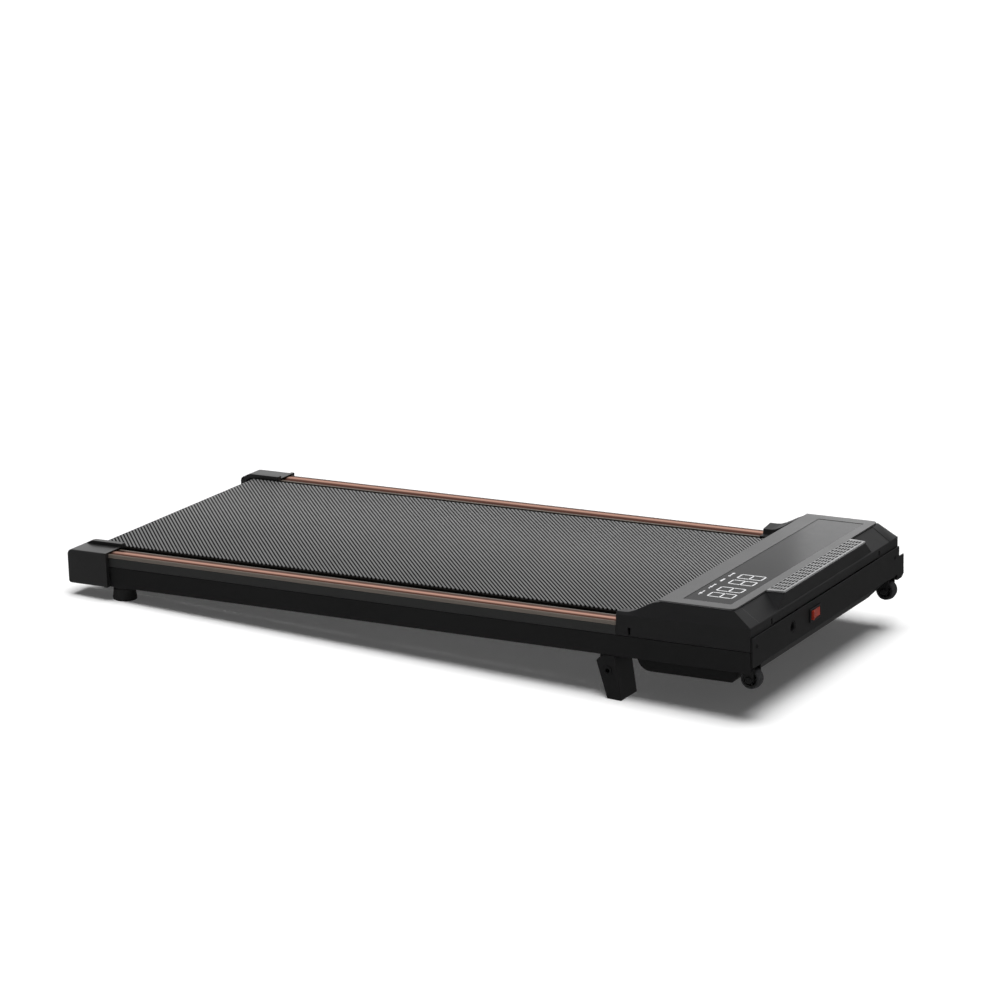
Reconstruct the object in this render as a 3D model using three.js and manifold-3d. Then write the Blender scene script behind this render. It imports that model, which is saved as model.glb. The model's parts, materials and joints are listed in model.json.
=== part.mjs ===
// Under-desk treadmill with a fixed-height motor hood and fold-out incline legs.
// Lengths are in millimetres and angles in degrees. The machine is drawn level:
// X runs from the rear end to the motor end, Y from the walker's right side to the left,
// Z up from the underside of the steel frame. At the end it is tilted onto its legs and
// set on the floor, with the origin under the middle of the whole machine.

import * as THREE from 'three';
import { mergeVertices } from 'three/addons/utils/BufferGeometryUtils.js';
import Module from 'manifold-3d';

const wasm = await Module();
wasm.setup();

// ---------------------------------------------------------------- driving dimensions

const GAP = 0.3;             // clearance between touching pieces
const LENGTH = 1107;         // rear caps to front panel
const HALF_WIDTH = 250;      // steel frame, each side of the middle
const INCLINE = 2.85;        // slope of the deck with the legs down

const FRAME = { rear: 14, height: 29.6, width: 28, wall: 2 };
const PANEL = { back: LENGTH - 2.5, bottom: 8, top: 49 };
const CROSS = { xs: [130, 480, 830], half: 15, bottom: 12.6, top: 27.3, wall: 2, end: 247.6 };
const RAIL = { inner: 218.7, topInner: 48.3, topOuter: 50.5, skirt: 43.5 };
const CAP = { length: 70, half: 258, inner: 208, top: 52, lipTop: 56.5, lipOuter: 218, wall: 3 };

const ROLLER = {
  radius: 19, half: 206, tube: 2.5, plug: 14, axle: 6, axleHalf: 244, z: 29.5, rear: 32, front: 935,
};
const BELT = { half: 204, clearance: 0.3, thickness: 1.7, mouth: 207.5, mouthTop: 51.1 };
const DECK = { rear: 58, front: 908, half: 207, bottom: 33.3, top: 48.2 };
const CUSHION = { radius: 12, y: 150 };

const HOOD = {
  rear: 904, shoulder: 916, plateauRear: 968, plateauFront: 1077, front: PANEL.back - GAP,
  bottom: FRAME.height + GAP, wallRear: 59, wallFront: 62, shoulderTop: 63, top: 81.7,
  chamferFoot: 62.6, slopeRear: 922, slopeFoot: 52.6, crest: 242, cheekOuter: 246,
  cheekInner: 220.8, cheekFoot: 219.3, cheekDip: 3.2, dish: 0.5, wall: 2.5, ceiling: 79.2,
};
const SCOOP = { rear: 1066, rearTop: 141, frontTop: 136.5, foot: 167, front: 1102.4, bottom: 57 };
const TOP_PANEL = {
  rear: 964.6, half: 241.8, bottom: HOOD.top + GAP, top: 84.2, corner: 9,
  apronHalf: 218.4, apronLift: 0.5, apron: 1.2,
};
const LENS = { rear: 992, front: 1063, half: 222, top: 83.7 };
const DISPLAY = { rear: 1004, front: 1056, right: -214, left: -64 };
const PAN = { rear: 926, bottom: -20.5, half: 236, front: 1076, noseHalf: 205, noseFront: 1102 };

const MOTOR = { x: 1010, z: 37, radius: 33, right: -195, left: -65, shaft: 4 };
const PULLEY = { right: -221, left: -209.5, drive: 19, motor: 7.5, rim: 1.5 };
const SWITCH = { y: -49, z: 30, halfY: 18, halfZ: 9.5, pocketY: 14.9, pocketZ: 6.9, rest: 7 };
const INLET = { y: -120.7, z: 30.5, radius: 7.8, bore: 6.3 };

const LEG = {
  x: 890.8, z: -22.3, outer: HALF_WIDTH, inner: 202, sheet: 2.4, headRadius: 21.7,
  frontTop: 10.7, frontFoot: 19.2, rearFoot: -2.4, rearOffset: 13.7, rearLean: 16.4, hole: 4.4,
};
const BOLT_Y = 234;          // belt-tension bolts, each side of the middle
const FOOT = { x: 79.3, y: 228, radius: 18, height: 22.1 };
const WHEEL = { x: 1096, z: -12, y: 228, radius: 15, half: 8, pin: 3 };
const HOOK = { rear: 1072, front: 1103.2, reach: 24, bottom: -3, top: 31, sheet: 2 };

// ---------------------------------------------------------------- materials

function finish(color, roughness, metalness) {
  return new THREE.MeshStandardMaterial({ color, roughness, metalness });
}

const FINISH = {
  paintedSteel: finish(0x1e1e20, 0.5, 0.3),
  blackPlastic: finish(0x252527, 0.55, 0),
  copper: finish(0xa4725c, 0.35, 0.8),
  greyPanel: finish(0x8d8d8e, 0.5, 0.2),
  lens: finish(0x3c3d40, 0.12, 0),
  rubber: finish(0x141414, 0.85, 0),
  beltCloth: finish(0x333436, 0.7, 0),
  steel: finish(0xb4b6b9, 0.3, 1),
  aluminium: finish(0xc2c4c6, 0.4, 1),
  board: finish(0x2d2926, 0.8, 0),
  circuit: finish(0x0e3b24, 0.6, 0),
  redSwitch: finish(0xc0281c, 0.3, 0),
};

// ---------------------------------------------------------------- shapes and booleans

const points2d = (pairs) => pairs.map(([a, b]) => new THREE.Vector2(a, b));

function anticlockwise(pairs) {
  const points = points2d(pairs);
  return THREE.ShapeUtils.isClockWise(points) ? points.reverse() : points;
}

function outline(pairs, holes = []) {
  const shape = new THREE.Shape(anticlockwise(pairs));
  for (const hole of holes) shape.holes.push(new THREE.Path(anticlockwise(hole)));
  return shape;
}

function prism(pairs, from, to, axes, holes) {
  const geometry = new THREE.ExtrudeGeometry(outline(pairs, holes), {
    depth: to - from,
    bevelEnabled: false,
  });
  geometry.translate(0, 0, from);
  return geometry.applyMatrix4(axes);
}

const alongXAxes = new THREE.Matrix4().makeBasis(
  new THREE.Vector3(0, 1, 0), new THREE.Vector3(0, 0, 1), new THREE.Vector3(1, 0, 0));
const alongYAxes = new THREE.Matrix4().makeBasis(
  new THREE.Vector3(0, 0, 1), new THREE.Vector3(1, 0, 0), new THREE.Vector3(0, 1, 0));
const alongZAxes = new THREE.Matrix4();

// Outlines are (y, z) along X, (z, x) along Y turned from (x, z) pairs, and (x, y) along Z.
const alongX = (pairs, from, to, holes) => prism(pairs, from, to, alongXAxes, holes);
const alongZ = (pairs, from, to, holes) => prism(pairs, from, to, alongZAxes, holes);
const swap = (pairs) => pairs.map(([x, z]) => [z, x]);
function alongY(pairs, from, to, holes = []) {
  return prism(swap(pairs), from, to, alongYAxes, holes.map(swap));
}

function block([x0, x1], [y0, y1], [z0, z1]) {
  const geometry = new THREE.BoxGeometry(x1 - x0, y1 - y0, z1 - z0);
  return geometry.translate((x0 + x1) / 2, (y0 + y1) / 2, (z0 + z1) / 2);
}

function signedVolume(geometry) {
  const flat = geometry.index ? geometry.toNonIndexed() : geometry;
  const position = flat.getAttribute('position');
  const [a, b, c] = [new THREE.Vector3(), new THREE.Vector3(), new THREE.Vector3()];
  let sum = 0;
  for (let i = 0; i < position.count; i += 3) {
    a.fromBufferAttribute(position, i);
    b.fromBufferAttribute(position, i + 1);
    c.fromBufferAttribute(position, i + 2);
    sum += a.dot(b.cross(c)) / 6;
  }
  return sum;
}

// Shared corners and faces pointing out, whatever way the profile was drawn.
function closed(geometry) {
  geometry.deleteAttribute('normal');
  geometry.deleteAttribute('uv');
  const merged = mergeVertices(geometry, 1e-4);
  if (signedVolume(merged) < 0) {
    const index = merged.getIndex();
    for (let i = 0; i < index.count; i += 3) {
      const first = index.getX(i);
      index.setX(i, index.getX(i + 1));
      index.setX(i + 1, first);
    }
  }
  return merged;
}

// A body of revolution about a line parallel to Y, from (radius, y) pairs.
function turnedY(pairs, segments = 28) {
  return closed(new THREE.LatheGeometry(points2d(pairs), segments));
}

// The same about a line parallel to X, from (radius, x) pairs.
function turnedX(pairs, segments = 24) {
  return turnedY(pairs, segments).rotateZ(-Math.PI / 2);
}

function solid(geometry) {
  const mesh = closed(geometry.clone());
  return new wasm.Manifold(new wasm.Mesh({
    numProp: 3,
    vertProperties: new Float32Array(mesh.getAttribute('position').array),
    triVerts: new Uint32Array(mesh.getIndex().array),
  }));
}

function geometryOf(manifold) {
  const mesh = manifold.getMesh();
  const geometry = new THREE.BufferGeometry();
  geometry.setAttribute('position', new THREE.BufferAttribute(mesh.vertProperties, 3));
  geometry.setIndex(new THREE.BufferAttribute(mesh.triVerts, 1));
  return geometry;
}

const cut = (geometry, ...tools) =>
  geometryOf(tools.reduce((body, tool) => body.subtract(solid(tool)), solid(geometry)));
const join = (geometry, ...pieces) =>
  geometryOf(pieces.reduce((body, piece) => body.add(solid(piece)), solid(geometry)));

// Skins a row of matching rings and closes both ends.
function loft(rings) {
  const count = rings[0].length;
  const positions = rings.flat(2);
  const triangles = [];
  for (let r = 0; r + 1 < rings.length; r += 1) {
    for (let i = 0; i < count; i += 1) {
      const j = (i + 1) % count;
      const [a, b, c, d] = [r * count + i, r * count + j, (r + 1) * count + i, (r + 1) * count + j];
      triangles.push(a, b, d, a, d, c);
    }
  }
  const last = (rings.length - 1) * count;
  // An end ring is either square to X or level, so dropping X into Z keeps its outline open.
  const flat = (ring) => ring.map(([x, y, z]) => new THREE.Vector2(y, z + x));
  for (const [a, b, c] of THREE.ShapeUtils.triangulateShape(flat(rings[0]), [])) {
    triangles.push(a, c, b);
  }
  for (const [a, b, c] of THREE.ShapeUtils.triangulateShape(flat(rings.at(-1)), [])) {
    triangles.push(last + a, last + b, last + c);
  }
  const geometry = new THREE.BufferGeometry();
  geometry.setAttribute('position', new THREE.Float32BufferAttribute(positions, 3));
  geometry.setIndex(triangles);
  return closed(geometry);
}

const mix = (a, b, t) => a + (b - a) * t;
const clamp01 = (t) => Math.min(1, Math.max(0, t));
const ease = (t) => t * t * (3 - 2 * t);
const radians = THREE.MathUtils.degToRad;

function arc(cx, cy, radius, fromDegrees, toDegrees, steps) {
  const list = [];
  for (let i = 0; i <= steps; i += 1) {
    const angle = radians(mix(fromDegrees, toDegrees, i / steps));
    list.push([cx + radius * Math.cos(angle), cy + radius * Math.sin(angle)]);
  }
  return list;
}

const mirrored = (pairs, side) => pairs.map(([y, z]) => [y * side, z]);
const span = (side, from, to) => (side > 0 ? [from, to] : [-to, -from]);

// ---------------------------------------------------------------- assembly

const machine = new THREE.Group();

function place(name, geometry, material) {
  const mesh = new THREE.Mesh(geometry, material);
  mesh.name = name;
  machine.add(mesh);
}

const SIDES = [['right', -1], ['left', 1]];

// ---------------------------------------------------------------- steel frame

function frameRail(side) {
  const { height, width, wall, rear } = FRAME;
  const outer = HALF_WIDTH;
  const channel = alongX(mirrored([
    [outer, 0], [outer, height], [outer - width, height], [outer - width, height - wall],
    [outer - wall, height - wall], [outer - wall, wall], [outer - width, wall], [outer - width, 0],
  ], side), rear, HOOD.front);
  const axleNotch = (from, x) => block([from, x + 8], span(side, 221, 245.5), [22, height + 1]);
  const wheelNotch = block([WHEEL.x - 18, LENGTH], span(side, 215, 245), [-1, wall + 1]);
  return cut(channel, axleNotch(rear - 1, ROLLER.rear), axleNotch(ROLLER.front - 8, ROLLER.front),
    wheelNotch);
}

function crossMember(x) {
  const { half, bottom, top, wall, end } = CROSS;
  const ring = (inset) => [
    [x - half + inset, bottom + inset], [x + half - inset, bottom + inset],
    [x + half - inset, top - inset], [x - half + inset, top - inset],
  ];
  return alongY(ring(0), -end, end, [ring(wall)]);
}

function frontPanel() {
  const half = HALF_WIDTH - 0.6;
  const plate = [[-half, PANEL.bottom], [half, PANEL.bottom], [half, PANEL.top], [-half, PANEL.top]];
  const switchHole = [
    [SWITCH.y - 16.2, SWITCH.z - 8.2], [SWITCH.y + 16.2, SWITCH.z - 8.2],
    [SWITCH.y + 16.2, SWITCH.z + 8.2], [SWITCH.y - 16.2, SWITCH.z + 8.2],
  ];
  const inletHole = arc(INLET.y, INLET.z, INLET.radius + 0.4, 0, 345, 23);
  return alongX(plate, PANEL.back, LENGTH, [switchHole, inletHole]);
}

function motorTray() {
  const plate = block([964, 1096], [-221.4, 221.4], [0.5, 2.5]);
  const lip = block([964, 966], [-205, 205], [2, 7]);
  const ventSlot = (y) => block([1045, 1085], [y - 4, y + 4], [0, 3]);
  const wheelCorner = (side) => block([WHEEL.x - 22, LENGTH], span(side, 206, 230), [0, 3]);
  return cut(join(plate, lip), ventSlot(60), ventSlot(90), ventSlot(120), wheelCorner(1),
    wheelCorner(-1));
}

// ---------------------------------------------------------------- deck and side rails

function sideRail(side) {
  const { inner, topInner, topOuter, skirt } = RAIL;
  const bottom = FRAME.height + GAP;
  const ledge = DECK.half + 0.6;
  const outer = HALF_WIDTH;
  return alongX(mirrored([
    [outer, bottom], [outer, skirt - GAP], [outer - 1.7, skirt - GAP], [outer - 1.7, topOuter - 2.3],
    [outer - 3, topOuter - 1.9], [inner + GAP, topInner - 1.7], [inner + GAP, bottom + 2],
    [ledge, bottom + 2], [ledge, bottom], [inner + 2.3, bottom], [inner + 2.3, topInner - 3.7],
    [outer - 3.7, topOuter - 3.9],
    [outer - 3.7, skirt - 2.3], [outer - 2, skirt - 2.3], [outer - 2, bottom],
  ], side), CAP.length - 20, HOOD.rear - GAP);
}

function trimStrip(side) {
  const { inner, topInner, topOuter, skirt } = RAIL;
  const outer = HALF_WIDTH;
  return alongX(mirrored([
    [inner, topInner], [outer - 2.2, topOuter], [outer - 0.8, topOuter - 0.5],
    [outer, topOuter - 1.8], [outer, skirt], [outer - 1.4, skirt], [outer - 1.4, topOuter - 2],
    [outer - 2.6, topOuter - 1.5], [inner, topInner - 1.4],
  ], side), CAP.length - 4.6, HOOD.rear - GAP);
}

function deckCushion(x, side) {
  const height = DECK.bottom - CROSS.top - 2 * GAP;
  const puck = new THREE.CylinderGeometry(CUSHION.radius, CUSHION.radius, height, 20);
  puck.rotateX(Math.PI / 2);
  return puck.translate(x, side * CUSHION.y, CROSS.top + GAP + height / 2);
}

// ---------------------------------------------------------------- rollers and belts

// A tube with a plug in each end that runs on the axle.
function roller(hubEnd) {
  const { radius, half, axle, tube, plug } = ROLLER;
  const bore = axle + GAP;
  return turnedY([
    [bore, hubEnd], [12, hubEnd], [12, -half], [radius - 1.5, -half], [radius, -half + 1.5],
    [radius, half - 1.5], [radius - 1.5, half], [bore, half], [bore, half - plug],
    [radius - tube, half - plug], [radius - tube, plug - half], [bore, plug - half], [bore, hubEnd],
  ]);
}

function axleRod() {
  const { axle, axleHalf } = ROLLER;
  return turnedY([
    [0, -axleHalf], [axle - 1, -axleHalf], [axle, -axleHalf + 1],
    [axle, axleHalf - 1], [axle - 1, axleHalf], [0, axleHalf],
  ], 20);
}

// Outline of a flat belt pulled around two pulleys, as (x, z) pairs.
function beltOutline(a, b, offset, steps) {
  const distance = Math.hypot(b.x - a.x, b.z - a.z);
  const heading = THREE.MathUtils.radToDeg(Math.atan2(b.z - a.z, b.x - a.x));
  const spread = THREE.MathUtils.radToDeg(Math.acos((a.r - b.r) / distance));
  return [
    ...arc(a.x, a.z, a.r + offset, heading + spread, heading + 360 - spread, steps),
    ...arc(b.x, b.z, b.r + offset, heading - spread, heading + spread, steps),
  ];
}

function runningBelt() {
  const rear = { x: ROLLER.rear, z: ROLLER.z, r: ROLLER.radius };
  const front = { x: ROLLER.front, z: ROLLER.z, r: ROLLER.radius };
  const outer = beltOutline(rear, front, BELT.clearance + BELT.thickness, 18);
  const inner = beltOutline(rear, front, BELT.clearance, 18);
  return alongY(outer, -BELT.half, BELT.half, [inner]);
}

function pulley(grooveRadius, bore) {
  const { right, left, rim } = PULLEY;
  const flange = grooveRadius + rim;
  return turnedY([
    [bore, right], [flange, right], [flange, right + rim], [grooveRadius, right + rim],
    [grooveRadius, left - rim], [flange, left - rim], [flange, left], [bore, left], [bore, right],
  ], 24);
}

function driveBelt() {
  const a = { x: ROLLER.front, z: ROLLER.z, r: PULLEY.drive };
  const b = { x: MOTOR.x, z: MOTOR.z, r: PULLEY.motor };
  const inset = PULLEY.rim + 0.4;
  return alongY(beltOutline(a, b, 2, 16), PULLEY.right + inset, PULLEY.left - inset,
    [beltOutline(a, b, BELT.clearance, 16)]);
}

// ---------------------------------------------------------------- rear caps, feet and bolts

function rearCap(side) {
  const { length, half, inner, top, lipTop, lipOuter, wall } = CAP;
  const corner = 5;
  const body = alongZ(mirroredPlan([
    [0, inner], [length, inner], [length, half], ...arc(corner, half - corner, corner, 90, 180, 4),
  ], side), 0, top);
  const lip = alongY([
    [8.5, top - 6], ...arc(8 + 14, lipTop - 14, 14, 160, 90, 6), [length + 1, lipTop],
    [length + 1, top - 6],
  ], ...span(side, inner, lipOuter));
  const shoulderCut = alongX(mirrored([
    [half - 3, top + 1], [half - 3, top], [half, top - 2.2], [half + 1, top - 2.2],
    [half + 1, top + 1],
  ], side), -1, length + 2);
  const cavity = block([wall, length - 4], span(side, inner - 1, half - wall), [-1, top - wall]);
  const railMouth = block([length - 5, length + 3], span(side, 217.9, HALF_WIDTH + 0.6),
    [-1, RAIL.topOuter + 0.4]);
  const ledgeMouth = block([length - 5, length + 3], span(side, inner - 1, HALF_WIDTH), [-1, 33]);
  const beltRelief = block([-1, length + 3], span(side, inner - 1, inner + 1.2), [-1, lipTop - 2]);
  const keyHole = turnedX([[0, -2], [5, -2], [5, wall + 2], [0, wall + 2]], 16)
    .translate(0, side * BOLT_Y, ROLLER.z);
  return cut(join(cut(body, shoulderCut), lip), cavity, railMouth, ledgeMouth, beltRelief, keyHole);
}

function mirroredPlan(pairs, side) {
  return pairs.map(([x, y]) => [x, y * side]);
}

function tensionBolt(side) {
  const tip = ROLLER.rear - ROLLER.axle - GAP;
  return turnedX([
    [0, 7], [2.6, 7], [2.6, 4], [6, 4], [6, 11], [4, 11], [4, tip], [0, tip],
  ], 18).translate(0, side * BOLT_Y, ROLLER.z);
}

function floorHeight(x) {
  return -FOOT.height - (x - FOOT.x) * Math.tan(radians(INCLINE));
}

// A rubber foot whose sole is slanted to stand flat on the floor.
function rearFoot(side) {
  const { x, y, radius, height } = FOOT;
  const plug = new THREE.CylinderGeometry(radius - 1.5, radius, height + 4, 24);
  plug.rotateX(Math.PI / 2);
  plug.translate(x, side * y, -GAP - (height + 4) / 2);
  const below = alongY([
    [x - 40, floorHeight(x - 40)], [x + 40, floorHeight(x + 40)], [x + 40, -60], [x - 40, -60],
  ], ...span(side, y - 30, y + 30));
  return cut(plug, below);
}

// ---------------------------------------------------------------- motor hood

// Height of the cheek ridge, how far the cheek's top falls inwards from it, height of the
// face between the cheeks, half-width of the ridge, and height of the upright side.
function hoodProfile(x) {
  const rise = ease(clamp01((x - HOOD.shoulder) / (HOOD.plateauRear - HOOD.shoulder)));
  const fall = clamp01((x - HOOD.plateauFront) / (HOOD.front - HOOD.plateauFront));
  const climb = clamp01((x - HOOD.slopeRear) / (HOOD.plateauRear - HOOD.slopeRear));
  const drop = (HOOD.top - HOOD.chamferFoot) * fall;
  return {
    ridge: mix(HOOD.shoulderTop, HOOD.top, rise) - drop,
    dip: HOOD.cheekDip * (1 - rise),
    slope: mix(HOOD.slopeFoot, HOOD.top - HOOD.dish, climb) - drop,
    ridgeY: mix(mix(HOOD.cheekOuter, HOOD.crest, rise), HALF_WIDTH - 1, fall),
    wall: mix(HOOD.wallRear, HOOD.wallFront, (x - HOOD.rear) / (HOOD.front - HOOD.rear)),
  };
}

function hoodRing(x, inset, ceiling) {
  const { ridge, dip, slope, ridgeY, wall } = hoodProfile(x);
  const lower = (z) => Math.min(z - inset, ceiling);
  const half = [
    [HALF_WIDTH - inset, HOOD.bottom - inset],
    [HALF_WIDTH - inset, lower(wall)],
    [ridgeY - inset, lower(ridge)],
    [HOOD.cheekInner + inset, lower(ridge - dip)],
    [HOOD.cheekFoot + inset, lower(slope)],
  ];
  const other = half.map(([y, z]) => [-y, z]).reverse();
  return [...half, ...other].map(([y, z]) => [x, y, z]);
}

function hoodShell() {
  const bend = [908, HOOD.shoulder, HOOD.slopeRear, 931, 940, 949, 958];
  const outerX = [HOOD.rear, ...bend, HOOD.plateauRear, HOOD.plateauFront, HOOD.front];
  const innerX = [HOOD.rear + HOOD.wall, ...bend.slice(1), HOOD.plateauRear, HOOD.plateauFront,
    HOOD.front - HOOD.wall];
  const outer = loft(outerX.map((x) => hoodRing(x, 0, HOOD.top)));
  const inner = loft(innerX.map((x) => hoodRing(x, HOOD.wall, HOOD.ceiling)));
  const opening = (x0, x1, y, z0, z1) => block([x0, x1], [-y, y], [z0, z1]);
  return cut(join(outer, scoop(0, SCOOP.front, HOOD.top)), inner,
    scoop(HOOD.wall, SCOOP.front - HOOD.wall, HOOD.ceiling),
    opening(1080, 1098, 131, HOOD.ceiling - 1, HOOD.top + 1),
    opening(HOOD.rear - 5, HOOD.slopeRear, BELT.mouth, HOOD.bottom - 5, HOOD.top),
    opening(HOOD.rear - 5, ROLLER.front, CAP.inner + 1, HOOD.bottom - 5, BELT.mouthTop),
    opening(HOOD.front - 10, HOOD.front + 5, 175, HOOD.bottom - 5, PANEL.top + 0.4),
    block([DISPLAY.rear, DISPLAY.front], [DISPLAY.right, DISPLAY.left], [70, HOOD.top + 1]),
    ...bandSlots());
}

// The raised block at the front of the hood that carries the air grille.
function scoop(inset, front, top) {
  const { rear, rearTop, frontTop, foot, bottom } = SCOOP;
  const low = bottom - inset;
  return loft([
    [[rear, -foot + inset, low], [rear, foot - inset, low], [front, foot - inset, low],
      [front, -foot + inset, low]],
    [[rear, -rearTop + inset, top], [rear, rearTop - inset, top], [front, frontTop - inset, top],
      [front, -frontTop + inset, top]],
  ]);
}

function bandSlots() {
  const frontSlot = (y) => block([HOOD.front - 5, LENGTH], [y - 1.5, y + 1.5], [50.5, 58.5]);
  const sideSlot = (y) => block([922.5, 925.5], [y - 5, y + 5], [32, 42]);
  return [frontSlot(-182), frontSlot(182), sideSlot(-HALF_WIDTH), sideSlot(HALF_WIDTH)];
}

function topPanel() {
  const { rear, half, bottom, top, corner } = TOP_PANEL;
  const front = HOOD.plateauFront;
  const plate = [
    [rear, -half], ...arc(front - corner, corner - half, corner, -90, 0, 5),
    ...arc(front - corner, half - corner, corner, 0, 90, 5), [rear, half],
  ];
  const window = [
    [LENS.rear, -LENS.half], [LENS.front, -LENS.half], [LENS.front, LENS.half],
    [LENS.rear, LENS.half],
  ];
  return join(alongZ(plate, bottom, top, [window]), slopeSheet());
}

// The part of the panel that runs down the hood's rear slope to the belt.
function slopeSheet() {
  const { apronHalf, apronLift, apron, top } = TOP_PANEL;
  const foot = HOOD.slopeRear + 1;
  const surface = hoodProfile(foot).slope + apronLift;
  const crest = HOOD.plateauRear + 1;
  return alongY([
    [foot, surface], [foot, surface + apron], [crest - 4, top], [crest + 2, top],
    [crest + 2, TOP_PANEL.bottom], [crest, TOP_PANEL.bottom],
  ], -apronHalf, apronHalf);
}

function displayLens() {
  const reach = LENS.half - GAP;
  return block([LENS.rear + GAP, LENS.front - GAP], [-reach, reach], [TOP_PANEL.bottom, LENS.top]);
}

function ventGrille() {
  const { rearTop, frontTop, front } = SCOOP;
  const rear = HOOD.plateauFront + GAP;
  const plate = [[rear, -rearTop], [front, -frontTop], [front, frontTop], [rear, rearTop]];
  const slots = [];
  for (let y = -120; y <= 120; y += 24) {
    slots.push([[1083, y - 9], [1096, y - 9], [1096, y + 9], [1083, y + 9]]);
  }
  return alongZ(plate, TOP_PANEL.bottom, TOP_PANEL.top, slots);
}

function displayBoard() {
  const board = block([1001, 1059], [-212, -66], [74.6, 76.2]);
  const digits = block([1010, 1053], [-206, -92], [76, 80.8]);
  return join(board, digits);
}

// ---------------------------------------------------------------- belly pan

function bellyPan() {
  const { rear, bottom, half, front, noseHalf, noseFront } = PAN;
  const skin = 2;
  const rim = -GAP;
  const bend = (inset) => arc(rear + 22, bottom + 20, 20 - inset, 180, 270, 6)
    .map(([x, z]) => [x, Math.min(z, rim)]);
  const tub = alongY([
    [rear + 2, rim], ...bend(0).slice(1), [front - 6, bottom], [front, bottom + 6], [front, rim],
  ], -half, half);
  const nose = alongY([
    [front - 20, rim], [front - 20, bottom], [front + 1, bottom], [noseFront, bottom + 25],
    [noseFront, 12], [noseFront - skin, 12], [noseFront - skin - 4, rim],
  ], -noseHalf, noseHalf);
  const tubHollow = alongY([
    [rear + 2 + skin, rim + 1], ...bend(skin).slice(1), [front - 7, bottom + skin],
    [front - skin, bottom + 7], [front - skin, rim + 1],
  ], skin - half, half - skin);
  const noseHollow = alongY([
    [front - 25, rim + 20], [front - 25, bottom + skin], [front, bottom + skin],
    [noseFront - skin, bottom + 26], [noseFront - skin, rim + 20],
  ], skin - noseHalf, noseHalf - skin);
  return cut(join(tub, nose), tubHollow, noseHollow);
}

// ---------------------------------------------------------------- motor and electronics

function motorBody() {
  const { radius, right, left, shaft } = MOTOR;
  const bore = shaft + GAP;
  return turnedY([
    [bore, right], [14, right], [14, right + 4], [radius - 5, right + 4], [radius - 3, right + 14],
    [radius, right + 14], [radius, left - 14], [radius - 3, left - 14], [radius - 5, left - 4],
    [14, left - 4], [14, left], [bore, left], [bore, right],
  ]).translate(MOTOR.x, 0, MOTOR.z);
}

function motorShaft() {
  const { shaft, left } = MOTOR;
  return turnedY([
    [0, PULLEY.right], [shaft, PULLEY.right], [shaft, left + 18], [0, left + 18],
  ], 16).translate(MOTOR.x, 0, MOTOR.z);
}

function motorFan() {
  const hub = turnedY([
    [MOTOR.shaft + GAP, MOTOR.left + 4], [26, MOTOR.left + 4], [26, MOTOR.left + 6],
    [9, MOTOR.left + 6], [9, MOTOR.left + 16], [MOTOR.shaft + GAP, MOTOR.left + 16],
    [MOTOR.shaft + GAP, MOTOR.left + 4],
  ], 20);
  const blades = [];
  for (let i = 0; i < 6; i += 1) {
    const blade = block([8.5, 27], [MOTOR.left + 5, MOTOR.left + 15], [-0.8, 0.8]);
    blades.push(blade.rotateY(radians(60 * i)));
  }
  return join(hub, ...blades).translate(MOTOR.x, 0, MOTOR.z);
}

function motorBracket() {
  const saddle = block([MOTOR.x - 27, MOTOR.x + 27], [-155, -105], [2.8, 20]);
  const barrel = new THREE.CylinderGeometry(MOTOR.radius + GAP, MOTOR.radius + GAP, 60, 40);
  return cut(saddle, barrel.translate(MOTOR.x, -130, MOTOR.z));
}

function controllerBoard() {
  const board = block([976, 1084], [30, 128], [9, 10.6]);
  const choke = block([984, 1008], [92, 120], [10, 28]);
  const relay = block([1016, 1034], [96, 116], [10, 26]);
  const capacitor = (x, y) => {
    const can = new THREE.CylinderGeometry(9, 9, 26, 16);
    return can.rotateX(Math.PI / 2).translate(x, y, 23);
  };
  const pads = [[980, 34], [1080, 34], [980, 124], [1080, 124]];
  const standoffs = pads.map(([x, y]) => block([x - 3, x + 3], [y - 3, y + 3], [2.8, 9.5]));
  return join(board, choke, relay, capacitor(996, 52), capacitor(1018, 52), ...standoffs);
}

function heatSink() {
  const comb = [[140, 5], [196, 5]];
  const fins = 8;
  const pitch = 56 / (fins - 0.5);
  for (let i = fins - 1; i >= 0; i -= 1) {
    const y = 140 + i * pitch;
    comb.push([y + pitch / 2, 9], [y + pitch / 2, 34], [y, 34], [y, 9]);
  }
  comb.splice(2, 1);
  comb.pop();
  return alongX(comb, 978, 1062);
}

function switchBezel() {
  const { y, z, halfY, halfZ, pocketY, pocketZ } = SWITCH;
  const flange = block([LENGTH + GAP, LENGTH + 2], [y - halfY, y + halfY], [z - halfZ, z + halfZ]);
  const housing = block([1084, LENGTH + 1], [y - 15.9, y + 15.9], [z - 7.9, z + 7.9]);
  const pocket = block([1096, LENGTH + 5], [y - pocketY, y + pocketY], [z - pocketZ, z + pocketZ]);
  return cut(join(flange, housing), pocket);
}

// The rocker tips about an upright axis and rests with one end pressed in.
function switchRocker() {
  const body = alongZ([
    [-3, 0], [-1, -11.5], [7.6, -13.2], [5.8, 0], [7.6, 13.2], [-1, 11.5],
  ], 0.6 - SWITCH.pocketZ, SWITCH.pocketZ - 0.6);
  body.rotateZ(radians(SWITCH.rest));
  return body.translate(1103, SWITCH.y, SWITCH.z);
}

function powerInlet() {
  const { y, z, radius, bore } = INLET;
  const tabBack = PANEL.back - GAP - 3;
  const tabFront = PANEL.back - GAP;
  return turnedX([
    [0, 1085], [radius, 1085], [radius, tabBack], [radius + 2.5, tabBack],
    [radius + 2.5, tabFront], [radius, tabFront], [radius, LENGTH - 0.2], [bore, LENGTH - 0.2],
    [bore, 1088], [0, 1088],
  ], 24).translate(0, y, z);
}

// ---------------------------------------------------------------- incline legs

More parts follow.
